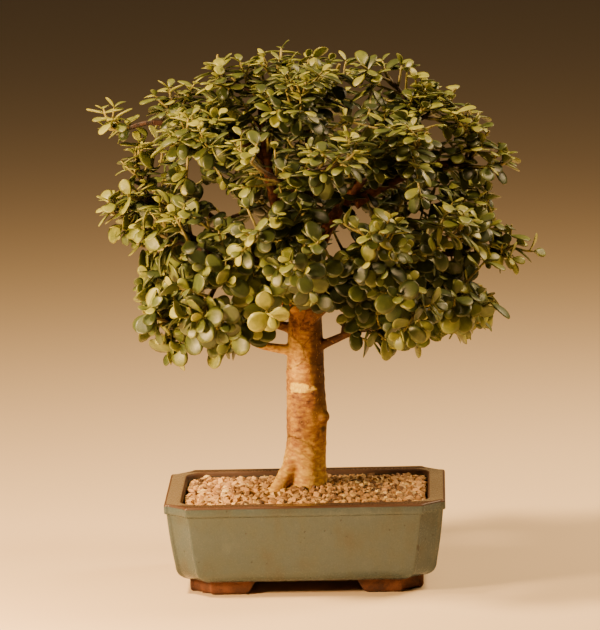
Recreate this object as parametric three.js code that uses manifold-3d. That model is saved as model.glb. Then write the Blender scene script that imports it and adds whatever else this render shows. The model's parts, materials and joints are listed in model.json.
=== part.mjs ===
// Dwarf jade bonsai in its glazed rectangular pot, in millimetres, +Z up.
// The trunk stands in soil under a dressing of gravel. Limbs spread from it to a domed crown, and
// every limb bears leafy sprays: a branch with side shoots and round leaves in opposite pairs.
// The origin is under the middle of the whole object, on the surface that the pot's feet stand on.
import * as THREE from "three";
import { OBB } from "three/addons/math/OBB.js";
import { mergeVertices } from "three/addons/utils/BufferGeometryUtils.js";
import Module from "manifold-3d";

const wasm = await Module();
wasm.setup();

// Pot
const POT_LENGTH = 216;
const POT_DEPTH = 160;
const POT_HEIGHT = 72;
const RIM_WIDTH = 13;
const RIM_BAND = 8;
const RIM_OVERHANG = 1.8;
const CORNER_CUT = 16;
const CORNER_STEP = 3.5;
const FOOT_HEIGHT = 10;
const FOOT_WALL = 12;
const FLOOR_TOP = 16;
const DRAIN_RADIUS = 6;
const DRAIN_PLACES = [-50, 50];

// Filling
const SOIL_TOP = 57;
const GRAVEL_EDGE = 68;
const GRAVEL_MOUND = 9;
const PEBBLE_PITCH = 13.4;
const SCREEN_SIZE = 24;
const SCREEN_THICKNESS = 1;

// Tree
const LEAF_LENGTH = 17.5;
const LEAF_WIDTH_SHARE = 0.78;
const LEAF_THICKNESS = 1.7;
const CROWN = { x: 10, z: 255, length: 148, depth: 134, up: 147, down: 74, power: 2.6 };

// Room between pieces that touch
const GAP = 0.35;

// The crown reaches further to the right, so the pot stands this far left of the whole's middle.
const POT_OFFSET = -9;

// A branch's choice of limb: the cost of turning back on it, and the room to the next branch
const TURN_COST = 0.7;
const ROOT_SPACING = 15;

const UP = new THREE.Vector3(0, 0, 1);
const GOLDEN_TURN = 2.399963;
const ROW_STEP = Math.sqrt(3) / 2;

function vector(x, y, z) {
  return new THREE.Vector3(x, y, z);
}

function drawer(seed) {
  let state = seed;
  return () => {
    state = (state * 16807) % 2147483647;
    return state / 2147483647;
  };
}

// Solids

function solidFrom(points, faces) {
  return new wasm.Manifold(
    new wasm.Mesh({
      numProp: 3,
      vertProperties: new Float32Array(points.flatMap((p) => [p.x, p.y, p.z])),
      triVerts: new Uint32Array(faces.flat()),
    }),
  );
}

function solidFromGeometry(geometry) {
  const bare = geometry.index ? geometry.toNonIndexed() : geometry.clone();
  bare.deleteAttribute("normal");
  bare.deleteAttribute("uv");
  const merged = mergeVertices(bare, 1e-4);
  return new wasm.Manifold(
    new wasm.Mesh({
      numProp: 3,
      vertProperties: merged.attributes.position.array,
      triVerts: new Uint32Array(merged.index.array),
    }),
  );
}

function meshFrom(name, solid, material) {
  const data = solid.getMesh();
  const geometry = new THREE.BufferGeometry();
  geometry.setAttribute("position", new THREE.BufferAttribute(data.vertProperties, 3));
  geometry.setIndex(new THREE.BufferAttribute(data.triVerts, 1));
  geometry.computeVertexNormals();
  const mesh = new THREE.Mesh(geometry, material);
  mesh.name = name;
  return mesh;
}

// A closed skin over rings of equal count. A ring of one point is an apex.
function loft(rings) {
  const faces = [];
  let start = 0;
  rings.slice(1).forEach((next, r) => {
    const a = rings[r].length;
    const b = next.length;
    const count = Math.max(a, b);
    for (let i = 0; i < count; i++) {
      const j = (i + 1) % count;
      if (a > 1) faces.push([start + i, start + j, start + a + (j % b)]);
      if (b > 1) faces.push([start + (i % a), start + a + j, start + a + i]);
    }
    start += a;
  });
  const first = rings[0].length;
  const last = rings[rings.length - 1].length;
  for (let i = 1; i + 1 < first; i++) faces.push([0, i + 1, i]);
  for (let i = 1; i + 1 < last; i++) faces.push([start, start + i, start + i + 1]);
  return solidFrom(rings.flat(), faces);
}

function centreOf(ring) {
  const sum = ring.reduce((total, p) => total.add(p), vector(0, 0, 0));
  return [sum.divideScalar(ring.length)];
}

// A ring's outline may be dented, so its ends are closed from the middle.
function loftFromCentres(rings) {
  return loft([centreOf(rings[0]), ...rings, centreOf(rings[rings.length - 1])]);
}

function tube(points, radii, sides) {
  let side = null;
  const rings = points.map((point, i) => {
    const before = points[Math.max(i - 1, 0)];
    const after = points[Math.min(i + 1, points.length - 1)];
    const along = after.clone().sub(before).normalize();
    const guide = side ?? (Math.abs(along.z) > 0.9 ? vector(1, 0, 0) : UP);
    side = guide.clone().addScaledVector(along, -guide.dot(along)).normalize();
    const across = along.clone().cross(side);
    return Array.from({ length: sides }, (_, k) => {
      const angle = (2 * Math.PI * k) / sides;
      return point
        .clone()
        .addScaledVector(side, radii[i] * Math.cos(angle))
        .addScaledVector(across, radii[i] * Math.sin(angle));
    });
  });
  return loft(rings);
}

// Pot: one thrown and fired body with four bracket feet

function notchedOutline(inset, z) {
  const x = POT_LENGTH / 2 - inset;
  const y = POT_DEPTH / 2 - inset;
  const corner = [
    [x, y - CORNER_CUT],
    [x - CORNER_STEP, y - CORNER_CUT],
    [x - CORNER_CUT, y - CORNER_STEP],
    [x - CORNER_CUT, y],
  ];
  const turns = [[1, 1], [-1, 1], [-1, -1], [1, -1]];
  return turns.flatMap(([sx, sy], q) => {
    const points = corner.map(([cx, cy]) => vector(sx * cx, sy * cy, z));
    return q % 2 ? points.reverse() : points;
  });
}

function roundedOutline(inset, radius, z) {
  const x = POT_LENGTH / 2 - inset - radius;
  const y = POT_DEPTH / 2 - inset - radius;
  const turns = [[1, 1], [-1, 1], [-1, -1], [1, -1]];
  return turns.flatMap(([sx, sy], q) =>
    Array.from({ length: 4 }, (_, k) => {
      const angle = ((q + k / 3) * Math.PI) / 2;
      return vector(sx * x + radius * Math.cos(angle), sy * y + radius * Math.sin(angle), z);
    }),
  );
}

// The cavity's wall: inset from the rim's outer edge and corner radius, by height.
const CAVITY = [
  { z: FLOOR_TOP, inset: 23, radius: 26 },
  { z: FLOOR_TOP + 7, inset: 16, radius: 24 },
  { z: POT_HEIGHT + 6, inset: RIM_WIDTH, radius: 15 },
];

function cavityOutline(z, gap) {
  const above = CAVITY[z > CAVITY[1].z ? 2 : 1];
  const below = CAVITY[z > CAVITY[1].z ? 1 : 0];
  const share = (z - below.z) / (above.z - below.z);
  const inset = THREE.MathUtils.lerp(below.inset, above.inset, share);
  const radius = THREE.MathUtils.lerp(below.radius, above.radius, share);
  return roundedOutline(inset + gap, radius, z);
}

function potBody() {
  const round = 12;
  const lowInset = 7.4;
  const bodyTop = POT_HEIGHT - RIM_BAND;
  const heel = [0, 1, 2, 3].map((k) => {
    const angle = (k * Math.PI) / 6;
    return notchedOutline(
      lowInset + round * (1 - Math.sin(angle)),
      FOOT_HEIGHT + round * (1 - Math.cos(angle)),
    );
  });
  return loftFromCentres([
    ...heel,
    notchedOutline(RIM_OVERHANG, bodyTop),
    notchedOutline(0, bodyTop + 0.6),
    notchedOutline(0, POT_HEIGHT - 0.8),
    notchedOutline(0.8, POT_HEIGHT),
  ]);
}

function bar(low, high, slope) {
  const ring = (z, shrink) => [
    vector(low.x, low.y, z),
    vector(high.x - shrink.x, low.y, z),
    vector(high.x - shrink.x, high.y - shrink.y, z),
    vector(low.x, high.y - shrink.y, z),
  ];
  return loft([ring(low.z, slope), ring(high.z, vector(0, 0, 0))]);
}

function potFeet() {
  const inset = 18;
  const halfLength = POT_LENGTH / 2 - inset;
  const halfDepth = POT_DEPTH / 2 - inset;
  const sunk = FOOT_HEIGHT + 0.8;
  const alongLength = 51;
  const alongDepth = 35;
  const slope = 6;
  const low = vector(-halfLength, -halfDepth, 0);
  const front = bar(low, vector(low.x + alongLength, low.y + FOOT_WALL, sunk), vector(slope, 0, 0));
  const side = bar(low, vector(low.x + FOOT_WALL, low.y + alongDepth, sunk), vector(0, slope, 0));
  const left = front.add(side);
  const nearPair = left.add(left.mirror([1, 0, 0]));
  const feet = nearPair.add(nearPair.mirror([0, 1, 0]));
  const corners = loftFromCentres([notchedOutline(inset, -1), notchedOutline(inset, sunk + 1)]);
  return feet.intersect(corners);
}

function potSolid() {
  const cavity = loftFromCentres(CAVITY.map(({ z }) => cavityOutline(z, 0)));
  const drains = DRAIN_PLACES.map((x) => {
    const line = [vector(x, 0, FOOT_HEIGHT - 2), vector(x, 0, FLOOR_TOP + 2)];
    return tube(line, [DRAIN_RADIUS, DRAIN_RADIUS], 10);
  });
  const bored = drains.reduce((pot, drain) => pot.subtract(drain), potBody().subtract(cavity));
  return bored.add(potFeet());
}

// Drain screens: squares of open mesh on the floor over the drain holes

function block(centre, size) {
  const geometry = new THREE.BoxGeometry(size.x, size.y, size.z);
  return solidFromGeometry(geometry.translate(centre.x, centre.y, centre.z));
}

function screenSolid(x) {
  const z = FLOOR_TOP + GAP + SCREEN_THICKNESS / 2;
  const pitch = SCREEN_SIZE / 2.4;
  const open = 0.7 * pitch;
  const places = [-0.5, 0.5].flatMap((i) => [-0.5, 0.5].map((j) => [i * pitch, j * pitch]));
  return places.reduce(
    (screen, [dx, dy]) => screen.subtract(block(vector(x + dx, dy, z), vector(open, open, 4))),
    block(vector(x, 0, z), vector(SCREEN_SIZE, SCREEN_SIZE, SCREEN_THICKNESS)),
  );
}

// Trunk: stations up its middle line, each with a radius and how far the roots flare from it

const TRUNK = [
  { x: -1, y: 0, z: 42, radius: 13, flare: 0 },
  { x: -1, y: 0, z: 58, radius: 17.5, flare: 1 },
  { x: -1, y: 0, z: 72, radius: 18, flare: 3.5 },
  { x: -0.8, y: 0, z: 81, radius: 17, flare: 2.2 },
  { x: -0.4, y: 0, z: 92, radius: 16.2, flare: 0.8 },
  { x: 0.4, y: 0, z: 106, radius: 15.8, flare: 0 },
  { x: 1.6, y: 0, z: 126, radius: 15.8, flare: 0 },
  { x: 2.1, y: 0, z: 142, radius: 15.0, flare: 0 },
  { x: 2, y: 0, z: 164, radius: 14.5, flare: 0 },
  { x: 1.6, y: 0, z: 186, radius: 13.8, flare: 0 },
  { x: 2, y: 0, z: 208, radius: 12.7, flare: 0 },
  { x: 3, y: 0, z: 228, radius: 12.4, flare: 0 },
  { x: 4.4, y: 1, z: 246, radius: 11.2, flare: 0 },
  { x: 5, y: 2, z: 256, radius: 7, flare: 0 },
];
const ROOT_BEARINGS = [3.2, 4.9, 1.1, 2.3];

// A root that runs out over the gravel, down to the left in front
const SURFACE_ROOT = [vector(-5, -5, 100), vector(-13, -11, 86), vector(-23, -18, 73), vector(-29, -22, 60)];
const SURFACE_ROOT_RADII = [7.5, 7, 5.5, 4];

function trunkRing(station, room) {
  const sides = 12;
  return Array.from({ length: sides }, (_, k) => {
    const angle = (2 * Math.PI * k) / sides;
    const reach = ROOT_BEARINGS.map((b) => Math.max(0, Math.cos(angle - b)) ** 10);
    const lobes = 0.5 * Math.sin(3 * angle + station.z / 14);
    const radius = station.radius + lobes + station.flare * Math.max(...reach) + room;
    return vector(
      station.x + radius * Math.cos(angle),
      station.y + radius * Math.sin(angle),
      station.z,
    );
  });
}

function trunkTube(room) {
  const top = TRUNK[TRUNK.length - 1];
  const bottom = TRUNK[0];
  const stump = loft([
    [vector(bottom.x, bottom.y, bottom.z - 4 - room)],
    ...TRUNK.map((station) => trunkRing(station, room)),
    [vector(top.x, top.y, top.z + 3 + room)],
  ]);
  const rootRadii = SURFACE_ROOT_RADII.map((radius) => radius + room);
  return stump.add(tube(SURFACE_ROOT, rootRadii, 8));
}

// Limbs: the middle line of each, chosen by hand, and its radius at root and tip

const LIMBS = [
  { root: 8, tip: 2.6, line: [[1, 0, 236], [-12, 2, 270], [-22, 0, 310], [-26, -2, 346], [-29, 2, 376]] },
  {
    root: 8.5,
    tip: 2.4,
    line: [[5, 0, 238], [14, 2, 260], [26, 0, 283], [50, -3, 314], [70, 2, 345], [84, 0, 368]],
  },
  { root: 6.5, tip: 2.6, line: [[5, 4, 246], [8, 20, 285], [6, 30, 325], [12, 22, 370]] },
  { root: 6, tip: 2.4, line: [[6, 0, 217], [37, -3, 224], [70, 2, 237], [100, 0, 250], [128, 2, 256]] },
  { root: 4.4, tip: 2.3, line: [[-4, -2, 179], [-31, -8, 185], [-48, -12, 193], [-84, -18, 199]] },
  { root: 4.2, tip: 2.3, line: [[-4, 3, 195], [-32, 12, 201], [-62, 16, 206], [-96, 20, 224]] },
  { root: 4.2, tip: 2.3, line: [[8, -3, 181], [29, -6, 190], [52, -8, 200], [86, -8, 208]] },
  { root: 6, tip: 2.4, line: [[0, 4, 220], [-30, 42, 244], [-56, 70, 262], [-76, 90, 276]] },
  { root: 6, tip: 2.4, line: [[6, 4, 223], [35, 38, 246], [62, 64, 262], [84, 86, 274]] },
  { root: 5.5, tip: 2.4, line: [[0, -4, 210], [-26, -38, 234], [-50, -64, 254], [-70, -84, 270]] },
  { root: 5.5, tip: 2.4, line: [[6, -4, 206], [34, -38, 230], [60, -62, 248], [82, -82, 264]] },
  { root: 6, tip: 2.4, line: [[4, 4, 234], [6, 40, 268], [4, 74, 298], [8, 96, 322]] },
  { root: 5.5, tip: 2.4, line: [[3, -4, 232], [0, -38, 268], [-4, -68, 300], [0, -90, 326]] },
  { root: 4.4, tip: 2.3, line: [[-25, 36, 240], [-60, 26, 254], [-92, 12, 272], [-116, 4, 300]] },
  { root: 4.2, tip: 2.3, line: [[-23, 0, 328], [-50, -4, 347], [-84, -2, 356], [-112, -6, 360]] },
  { root: 4.6, tip: 2.3, line: [[42, -2, 294], [75, 6, 310], [105, 4, 321], [130, 2, 324]] },
].map((limb) => ({ ...limb, line: limb.line.map((p) => vector(...p)) }));

function limbRadius(limb, place) {
  return THREE.MathUtils.lerp(limb.root, limb.tip, Math.sqrt(place / (limb.line.length - 1)));
}

function limbTube(limb, room) {
  const radii = limb.line.map((_, i) => limbRadius(limb, i) + room);
  return tube(limb.line, radii, 5);
}

// The burr on the trunk's right side, over a hollow
const BURR = { x: 13.4, y: -6, z: 128, radius: 7 };

function burr(room) {
  const geometry = new THREE.IcosahedronGeometry(BURR.radius + room, 0);
  return solidFromGeometry(geometry.scale(0.9, 1.1, 0.8).translate(BURR.x, BURR.y, BURR.z));
}

function wood(room) {
  return LIMBS.reduce((all, limb) => all.add(limbTube(limb, room)), trunkTube(room).add(burr(room)));
}

// Sprays: tips round the crown's outline chosen by hand, then rows over its front and back

const OUTLINE_TIPS = [
  [-144, -8, 356], [-126, 10, 330], [-145, -5, 291], [-124, 14, 262], [-112, -8, 226],
  [-100, -30, 197], [-56, -42, 203], [-98, 8, 381], [-62, -6, 397], [-14, 4, 401],
  [32, -4, 399], [68, 8, 394], [96, -8, 380], [120, 10, 377], [136, -6, 350],
  [157, 6, 321], [146, -12, 285], [163, 0, 257], [146, 14, 218], [136, -14, 201],
  [100, -28, 201], [62, -30, 202],
];
const INNER_TIPS = [[-24, -54, 240], [16, -52, 248], [-50, -6, 258], [56, -2, 214]];
const FRONT_ROWS = [
  { elevation: -0.3, azimuths: [0.42, 0.86, 2.24, 2.74] },
  { elevation: 0.06, azimuths: [1.57] },
  { elevation: 0.24, azimuths: [0.6, 1.22, 1.92, 2.54] },
  { elevation: 0.68, azimuths: [0.7, 1.34, 2.0, 2.5] },
  { elevation: 1.1, azimuths: [1.57] },
];
const BACK_ROWS = [
  { elevation: -0.3, azimuths: [0.45, 1.01, 1.57, 2.13, 2.69] },
  { elevation: 0.22, azimuths: [0.6, 1.25, 1.9, 2.54] },
  { elevation: 0.72, azimuths: [0.75, 1.57, 2.39] },
  { elevation: 1.16, azimuths: [1.57] },
];

// The crown's surface in a direction from its middle: a rounded dome, wider than it is deep.
function crownPoint(azimuth, elevation) {
  const way = vector(
    Math.cos(elevation) * Math.cos(azimuth),
    Math.cos(elevation) * Math.sin(azimuth),
    Math.sin(elevation),
  );
  return vector(CROWN.x, 0, CROWN.z).addScaledVector(way, 1 / crownShare(way));
}

// How far out a step from the crown's middle reaches, where 1 is its surface.
function crownShare(step) {
  const flat = Math.hypot(step.x / CROWN.length, step.y / CROWN.depth);
  const tall = Math.abs(step.z) / (step.z > 0 ? CROWN.up : CROWN.down);
  return (flat ** CROWN.power + tall ** CROWN.power) ** (1 / CROWN.power);
}

function rowTips(rows, face, seed) {
  const draw = drawer(seed);
  return rows.flatMap(({ elevation, azimuths }) =>
    azimuths.map((azimuth) => {
      const turned = face * (azimuth + 0.12 * (draw() - 0.5));
      return crownPoint(turned, elevation + 0.1 * (draw() - 0.5));
    }),
  );
}

const TIPS = [
  ...[...OUTLINE_TIPS, ...INNER_TIPS].map((p) => vector(...p)),
  ...rowTips(FRONT_ROWS, -1, 41),
  ...rowTips(BACK_ROWS, 1, 53),
];

// The place on the limbs that a tip's branch grows from: near, not turning back on the limb, and
// a little way from the branches that have started already.
const roots = [];

function rootFor(tip) {
  let best = { cost: Infinity };
  for (const { line } of LIMBS) {
    for (let place = 1; place <= line.length - 1; place += 0.25) {
      const index = Math.min(Math.floor(place), line.length - 2);
      const along = line[index + 1].clone().sub(line[index]);
      const point = line[index].clone().addScaledVector(along, place - index);
      const away = tip.clone().sub(point);
      const turn = 1 - away.clone().normalize().dot(along.normalize());
      const cost = away.length() * (1 + TURN_COST * turn);
      const isFree = roots.every((root) => root.distanceTo(point) > ROOT_SPACING);
      if (isFree && cost < best.cost) best = { cost, point, along };
    }
  }
  roots.push(best.point);
  return best;
}

// A branch's curve from its limb to its tip: it leaves along the limb and ends turned up.
function branchCurve(tip) {
  const { point, along } = rootFor(tip);
  const away = tip.clone().sub(point);
  const reach = away.length();
  const lift = tip.z > CROWN.z ? 0.5 : 0.1;
  const end = away.clone().normalize().addScaledVector(UP, lift).normalize();
  const leave = away.clone().normalize().add(along).normalize();
  return new THREE.CubicBezierCurve3(
    point,
    point.clone().addScaledVector(leave, 0.35 * reach),
    tip.clone().addScaledVector(end, -0.35 * reach),
    tip,
  );
}

// Side shoots up a branch, each turned on from the last, and leaning out from it.
function shootsOf(curve, number) {
  const draw = drawer(700 + number);
  const count = Math.min(7, Math.max(4, Math.round(curve.getLength() / 11)));
  return Array.from({ length: count }, (_, place) => {
    const share = 0.3 + (0.62 * place) / (count - 1);
    const along = curve.getTangent(share);
    const root = curve.getPoint(share);
    const level = along.clone().cross(UP).normalize();
    const rise = level.clone().cross(along);
    const turn = number + place * GOLDEN_TURN + 0.6 * (draw() - 0.5);
    const lean = 0.9 + 0.3 * (draw() - 0.5);
    const heading = along
      .clone()
      .multiplyScalar(Math.cos(lean))
      .addScaledVector(level, Math.sin(lean) * Math.cos(turn))
      .addScaledVector(rise, Math.sin(lean) * Math.sin(turn))
      .addScaledVector(UP, 0.3)
      .normalize();
    const reach = 19 + 11 * draw();
    const end = root.clone().addScaledVector(heading, reach).sub(vector(CROWN.x, 0, CROWN.z));
    return { root, heading, reach: crownShare(end) > 1 ? 0.6 * reach : reach, turn: 6 * draw() };
  });
}

// Two opposite leaves at the end of a shoot, spread to either side of its heading.
function leafPair(place, heading, turn, draw) {
  const guide = Math.abs(heading.z) > 0.9 ? vector(1, 0, 0) : UP;
  const level = heading.clone().cross(guide).normalize();
  const side = level.applyAxisAngle(heading, turn);
  return [1, -1].map((way) => {
    const lean = 0.85 + 0.3 * (draw() - 0.5);
    const along = heading.clone().multiplyScalar(Math.cos(lean));
    along.addScaledVector(side, way * Math.sin(lean));
    const normal = heading.clone().addScaledVector(along, -heading.dot(along)).normalize();
    normal.applyAxisAngle(along, 0.5 * (draw() - 0.5));
    return { place, along, normal, side, length: LEAF_LENGTH * (0.88 + 0.24 * draw()) };
  });
}

// Along a leaf: where it is thickest, where it is widest, and where its blunt tip ends
const LEAF_THICKEST = 0.45;
const LEAF_WIDEST = 0.52;
const LEAF_END = 0.94;

// A stem with a pair of leaves grown from its end. Each leaf is an egg-shaped blade, widest towards
// its blunt tip and thickest near its foot, and the stem's last ring is the foot of both.
function leafyStem(points, radii, leaves) {
  const rings = points.map((point, i) => {
    const before = points[Math.max(i - 1, 0)];
    const after = points[Math.min(i + 1, points.length - 1)];
    const along = after.clone().sub(before).normalize();
    const side = leaves[0].side.clone();
    side.addScaledVector(along, -side.dot(along)).normalize();
    const across = along.clone().cross(side);
    return [side, across, side.clone().negate(), across.clone().negate()].map((way) =>
      point.clone().addScaledVector(way, radii[i]),
    );
  });
  const corners = rings.flat();
  const faces = [[0, 2, 1], [0, 3, 2]];
  for (let start = 0; start + 4 < corners.length; start += 4) {
    for (let i = 0; i < 4; i++) {
      const j = (i + 1) % 4;
      faces.push([start + i, start + j, start + 4 + j], [start + i, start + 4 + j, start + 4 + i]);
    }
  }
  const ring = corners.length - 4;
  const heading = leaves[0].along.clone().add(leaves[1].along).normalize();
  const crotch = corners.push(points[points.length - 1].clone().addScaledVector(heading, 1)) - 1;
  leaves.forEach(({ place, along, normal, length }, half) => {
    const across = normal.clone().cross(along);
    const width = length * LEAF_WIDTH_SHARE;
    const at = (u, v, w) =>
      corners.push(
        place
          .clone()
          .addScaledVector(along, u)
          .addScaledVector(across, v)
          .addScaledVector(normal, w),
      ) - 1;
    const blade = [
      at(LEAF_WIDEST * length, -0.5 * width, 0.7),
      at(LEAF_END * length, -0.3 * width, 0.1),
      at(LEAF_END * length, 0.3 * width, 0.1),
      at(LEAF_WIDEST * length, 0.5 * width, 0.7),
    ];
    const middle = LEAF_THICKEST * length;
    const top = at(middle, 0, LEAF_THICKNESS / 2);
    const under = at(middle, 0, -LEAF_THICKNESS / 2);
    const foot = half ? [1, 2, 3] : [3, 0, 1];
    const outline = [ring + foot[0], ...blade, ring + foot[2]];
    fan(faces, top, [...outline, crotch]);
    fan(faces, under, [...outline, ring + foot[1]].reverse());
  });
  return solidFrom(corners, faces);
}

function fan(faces, middle, outline) {
  outline.forEach((corner, i) => faces.push([middle, corner, outline[(i + 1) % outline.length]]));
}

// Boxes round what has been placed, by which the next leaf or shoot is kept clear

const placed = [];

function boxRound(start, end, halfWidth, halfThickness, normal) {
  const along = end.clone().sub(start);
  const half = along.length() / 2;
  along.normalize();
  const guide = normal ?? (Math.abs(along.z) > 0.9 ? vector(1, 0, 0) : UP);
  const across = guide.clone().cross(along).normalize();
  const up = along.clone().cross(across);
  const turn = new THREE.Matrix3().set(
    along.x, across.x, up.x,
    along.y, across.y, up.y,
    along.z, across.z, up.z,
  );
  const room = GAP / 2;
  const halfSize = vector(half + room, halfWidth + room, halfThickness + room);
  return new OBB(start.clone().add(end).multiplyScalar(0.5), halfSize, turn);
}

function leafBox({ place, along, normal, length }, from) {
  const start = place.clone().addScaledVector(along, from * length);
  const end = place.clone().addScaledVector(along, LEAF_END * length);
  return boxRound(start, end, (length * LEAF_WIDTH_SHARE) / 2, LEAF_THICKNESS / 2 + 0.1, normal);
}

function isClear(box, owner) {
  return placed.every((other) => other.owner === owner || !box.intersectsOBB(other.box));
}

const SHOOT_RADIUS = { foot: 1, tip: 0.9 };
const BRANCH_RADIUS = { foot: 2.3, tip: 1.5 };
const BRANCH_STEPS = 3;
const SHOOTS_ON_SPRAY = [3, 4, 4];

function placeWood() {
  TRUNK.slice(1).forEach((station, i) => {
    const below = TRUNK[i];
    const radius = Math.max(station.radius, below.radius) + 1;
    const start = vector(below.x, below.y, below.z);
    const end = vector(station.x, station.y, station.z);
    placed.push({ owner: "trunk", box: boxRound(start, end, radius, radius) });
  });
  for (const limb of LIMBS) {
    limb.line.slice(1).forEach((end, i) => {
      const radius = limbRadius(limb, i);
      placed.push({ owner: "trunk", box: boxRound(limb.line[i], end, radius, radius) });
    });
  }
}

function placeBranch(spray) {
  const points = spray.curve.getPoints(BRANCH_STEPS);
  points.slice(1).forEach((end, i) => {
    const box = boxRound(points[i], end, BRANCH_RADIUS.foot, BRANCH_RADIUS.foot);
    placed.push({ owner: spray.name, box });
  });
}

// The first turn of a pair at which both its leaves are clear, or nothing.
function clearPair(place, heading, firstTurn, spray, seed) {
  const turns = 8;
  for (let step = 0; step < turns; step++) {
    const pair = leafPair(place, heading, firstTurn + (step * Math.PI) / turns, drawer(seed));
    const clear = pair.every(
      (leaf) =>
        isClear(leafBox(leaf, 0.05), spray.name) &&
        spray.blades.every((other) => !other.intersectsOBB(leafBox(leaf, 0.3))),
    );
    if (clear) return pair;
  }
  return null;
}

function keepPair(pair, spray) {
  for (const leaf of pair) {
    spray.blades.push(leafBox(leaf, 0.3));
    placed.push({ owner: spray.name, box: leafBox(leaf, 0.05) });
  }
}

function startBranch(spray, number) {
  const points = spray.curve.getPoints(BRANCH_STEPS);
  const radii = points.map((_, i) =>
    THREE.MathUtils.lerp(BRANCH_RADIUS.foot, BRANCH_RADIUS.tip, i / BRANCH_STEPS),
  );
  const pair = clearPair(points[BRANCH_STEPS], spray.curve.getTangent(1), number, spray, 30 + number);
  if (!pair) throw new Error(`no room for the leaves at the tip of ${spray.name}`);
  keepPair(pair, spray);
  spray.solid = leafyStem(points, radii, pair);
}

// A shoot with its pair, at the first of a few lengths at which both are clear, or nothing.
function clearShoot({ root, heading, reach, turn }, spray, seed) {
  for (const share of [1, 0.75, 0.55]) {
    const end = root.clone().addScaledVector(heading, share * reach);
    const start = root.clone().addScaledVector(heading, 3);
    const box = boxRound(start, end, SHOOT_RADIUS.foot, SHOOT_RADIUS.foot);
    const isOff = spray.blades.every((blade) => !blade.intersectsOBB(box));
    const pair = isOff && isClear(box, spray.name) && clearPair(end, heading, turn, spray, seed);
    if (pair) return { box, pair, line: [root, end] };
  }
  return null;
}

function addShoots(spray, number) {
  let count = 0;
  for (const [place, shoot] of [...spray.shoots.entries()].reverse()) {
    const found = clearShoot(shoot, spray, 9000 + 97 * number + 13 * place);
    if (!found || count === SHOOTS_ON_SPRAY[number % SHOOTS_ON_SPRAY.length]) continue;
    keepPair(found.pair, spray);
    placed.push({ owner: spray.name, box: found.box });
    const radii = [SHOOT_RADIUS.foot, SHOOT_RADIUS.tip];
    spray.solid = spray.solid.add(leafyStem(found.line, radii, found.pair));
    count += 1;
  }
}

// A branch starts on a limb's middle line, and is cut back to just off the limb's skin.
function trimmed(solid, woodRoom) {
  return solid.subtract(woodRoom).decompose().sort((a, b) => b.volume() - a.volume())[0];
}

// Gravel: a bed of pebbles over the whole soil, each a low peak among its six neighbours

function gravelHeight(x, y) {
  return GRAVEL_EDGE + GRAVEL_MOUND * Math.exp(-((x / 46) ** 2) - (y / 34) ** 2);
}

function gravelSolid(trunkRoom) {
  const draw = drawer(5);
  const pitch = PEBBLE_PITCH / Math.sqrt(3);
  const rows = Math.ceil(POT_DEPTH / 2 / (ROW_STEP * pitch));
  const columns = Math.ceil(POT_LENGTH / 2 / pitch + rows / 2);
  const wide = 2 * columns + 1;
  const tall = 2 * rows + 1;
  const points = [];
  for (let j = -rows; j <= rows; j++) {
    for (let i = -columns; i <= columns; i++) {
      const x = pitch * (i + j / 2 + 0.4 * (draw() - 0.5));
      const y = pitch * (ROW_STEP * j + 0.4 * (draw() - 0.5));
      const isPeak = (i - j) % 3 === 0;
      const rise = isPeak ? 1.1 + draw() : -1.2 - 0.5 * draw();
      points.push(vector(x, y, gravelHeight(x, y) + rise));
    }
  }
  const faces = [];
  for (let j = 0; j + 1 < tall; j++) {
    for (let i = 0; i + 1 < wide; i++) {
      const corner = j * wide + i;
      faces.push([corner, corner + 1, corner + wide]);
      faces.push([corner + 1, corner + wide + 1, corner + wide]);
    }
  }
  const deep = points.push(vector(0, 0, -2000)) - 1;
  const last = wide * (tall - 1);
  for (let i = 0; i + 1 < wide; i++) {
    faces.push([i + 1, i, deep], [last + i, last + i + 1, deep]);
  }
  for (let j = 0; j + 1 < tall; j++) {
    const left = j * wide;
    const right = left + wide - 1;
    faces.push([left, left + wide, deep], [right + wide, right, deep]);
  }
  const bed = loftFromCentres([
    cavityOutline(SOIL_TOP + GAP, GAP),
    cavityOutline(POT_HEIGHT + 10, GAP),
  ]);
  return solidFrom(points, faces).intersect(bed).subtract(trunkRoom);
}

// Soil: fills the pot under the gravel, over the screens and round the root stump

function soilSolid(trunkRoom) {
  const levels = [FLOOR_TOP + GAP, CAVITY[1].z + GAP, SOIL_TOP];
  const width = SCREEN_SIZE + 2 * GAP;
  const pocket = vector(width, width, 2 * (SCREEN_THICKNESS + 2 * GAP));
  const filled = loftFromCentres(levels.map((z) => cavityOutline(z, GAP)));
  return DRAIN_PLACES.reduce(
    (soil, x) => soil.subtract(block(vector(x, 0, FLOOR_TOP), pocket)),
    filled.subtract(trunkRoom),
  );
}

// Assembly

function finish(color, roughness) {
  return new THREE.MeshStandardMaterial({ color, roughness, metalness: 0 });
}

const glaze = finish(0x5d7468, 0.25);
const bark = finish(0xa8642f, 0.7);
const jade = finish(0x55702a, 0.4);
const stones = finish(0xb9977a, 0.8);
const earth = finish(0x3a2a1e, 0.95);
const plastic = finish(0x222222, 0.7);

const woodRoom = wood(GAP);
placeWood();
const sprays = TIPS.map((tip, i) => {
  const curve = branchCurve(tip);
  const name = `spray_${String(i + 1).padStart(2, "0")}`;
  return { name, curve, shoots: shootsOf(curve, i), blades: [] };
});
sprays.forEach(placeBranch);
sprays.forEach(startBranch);
sprays.forEach(addShoots);

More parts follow.
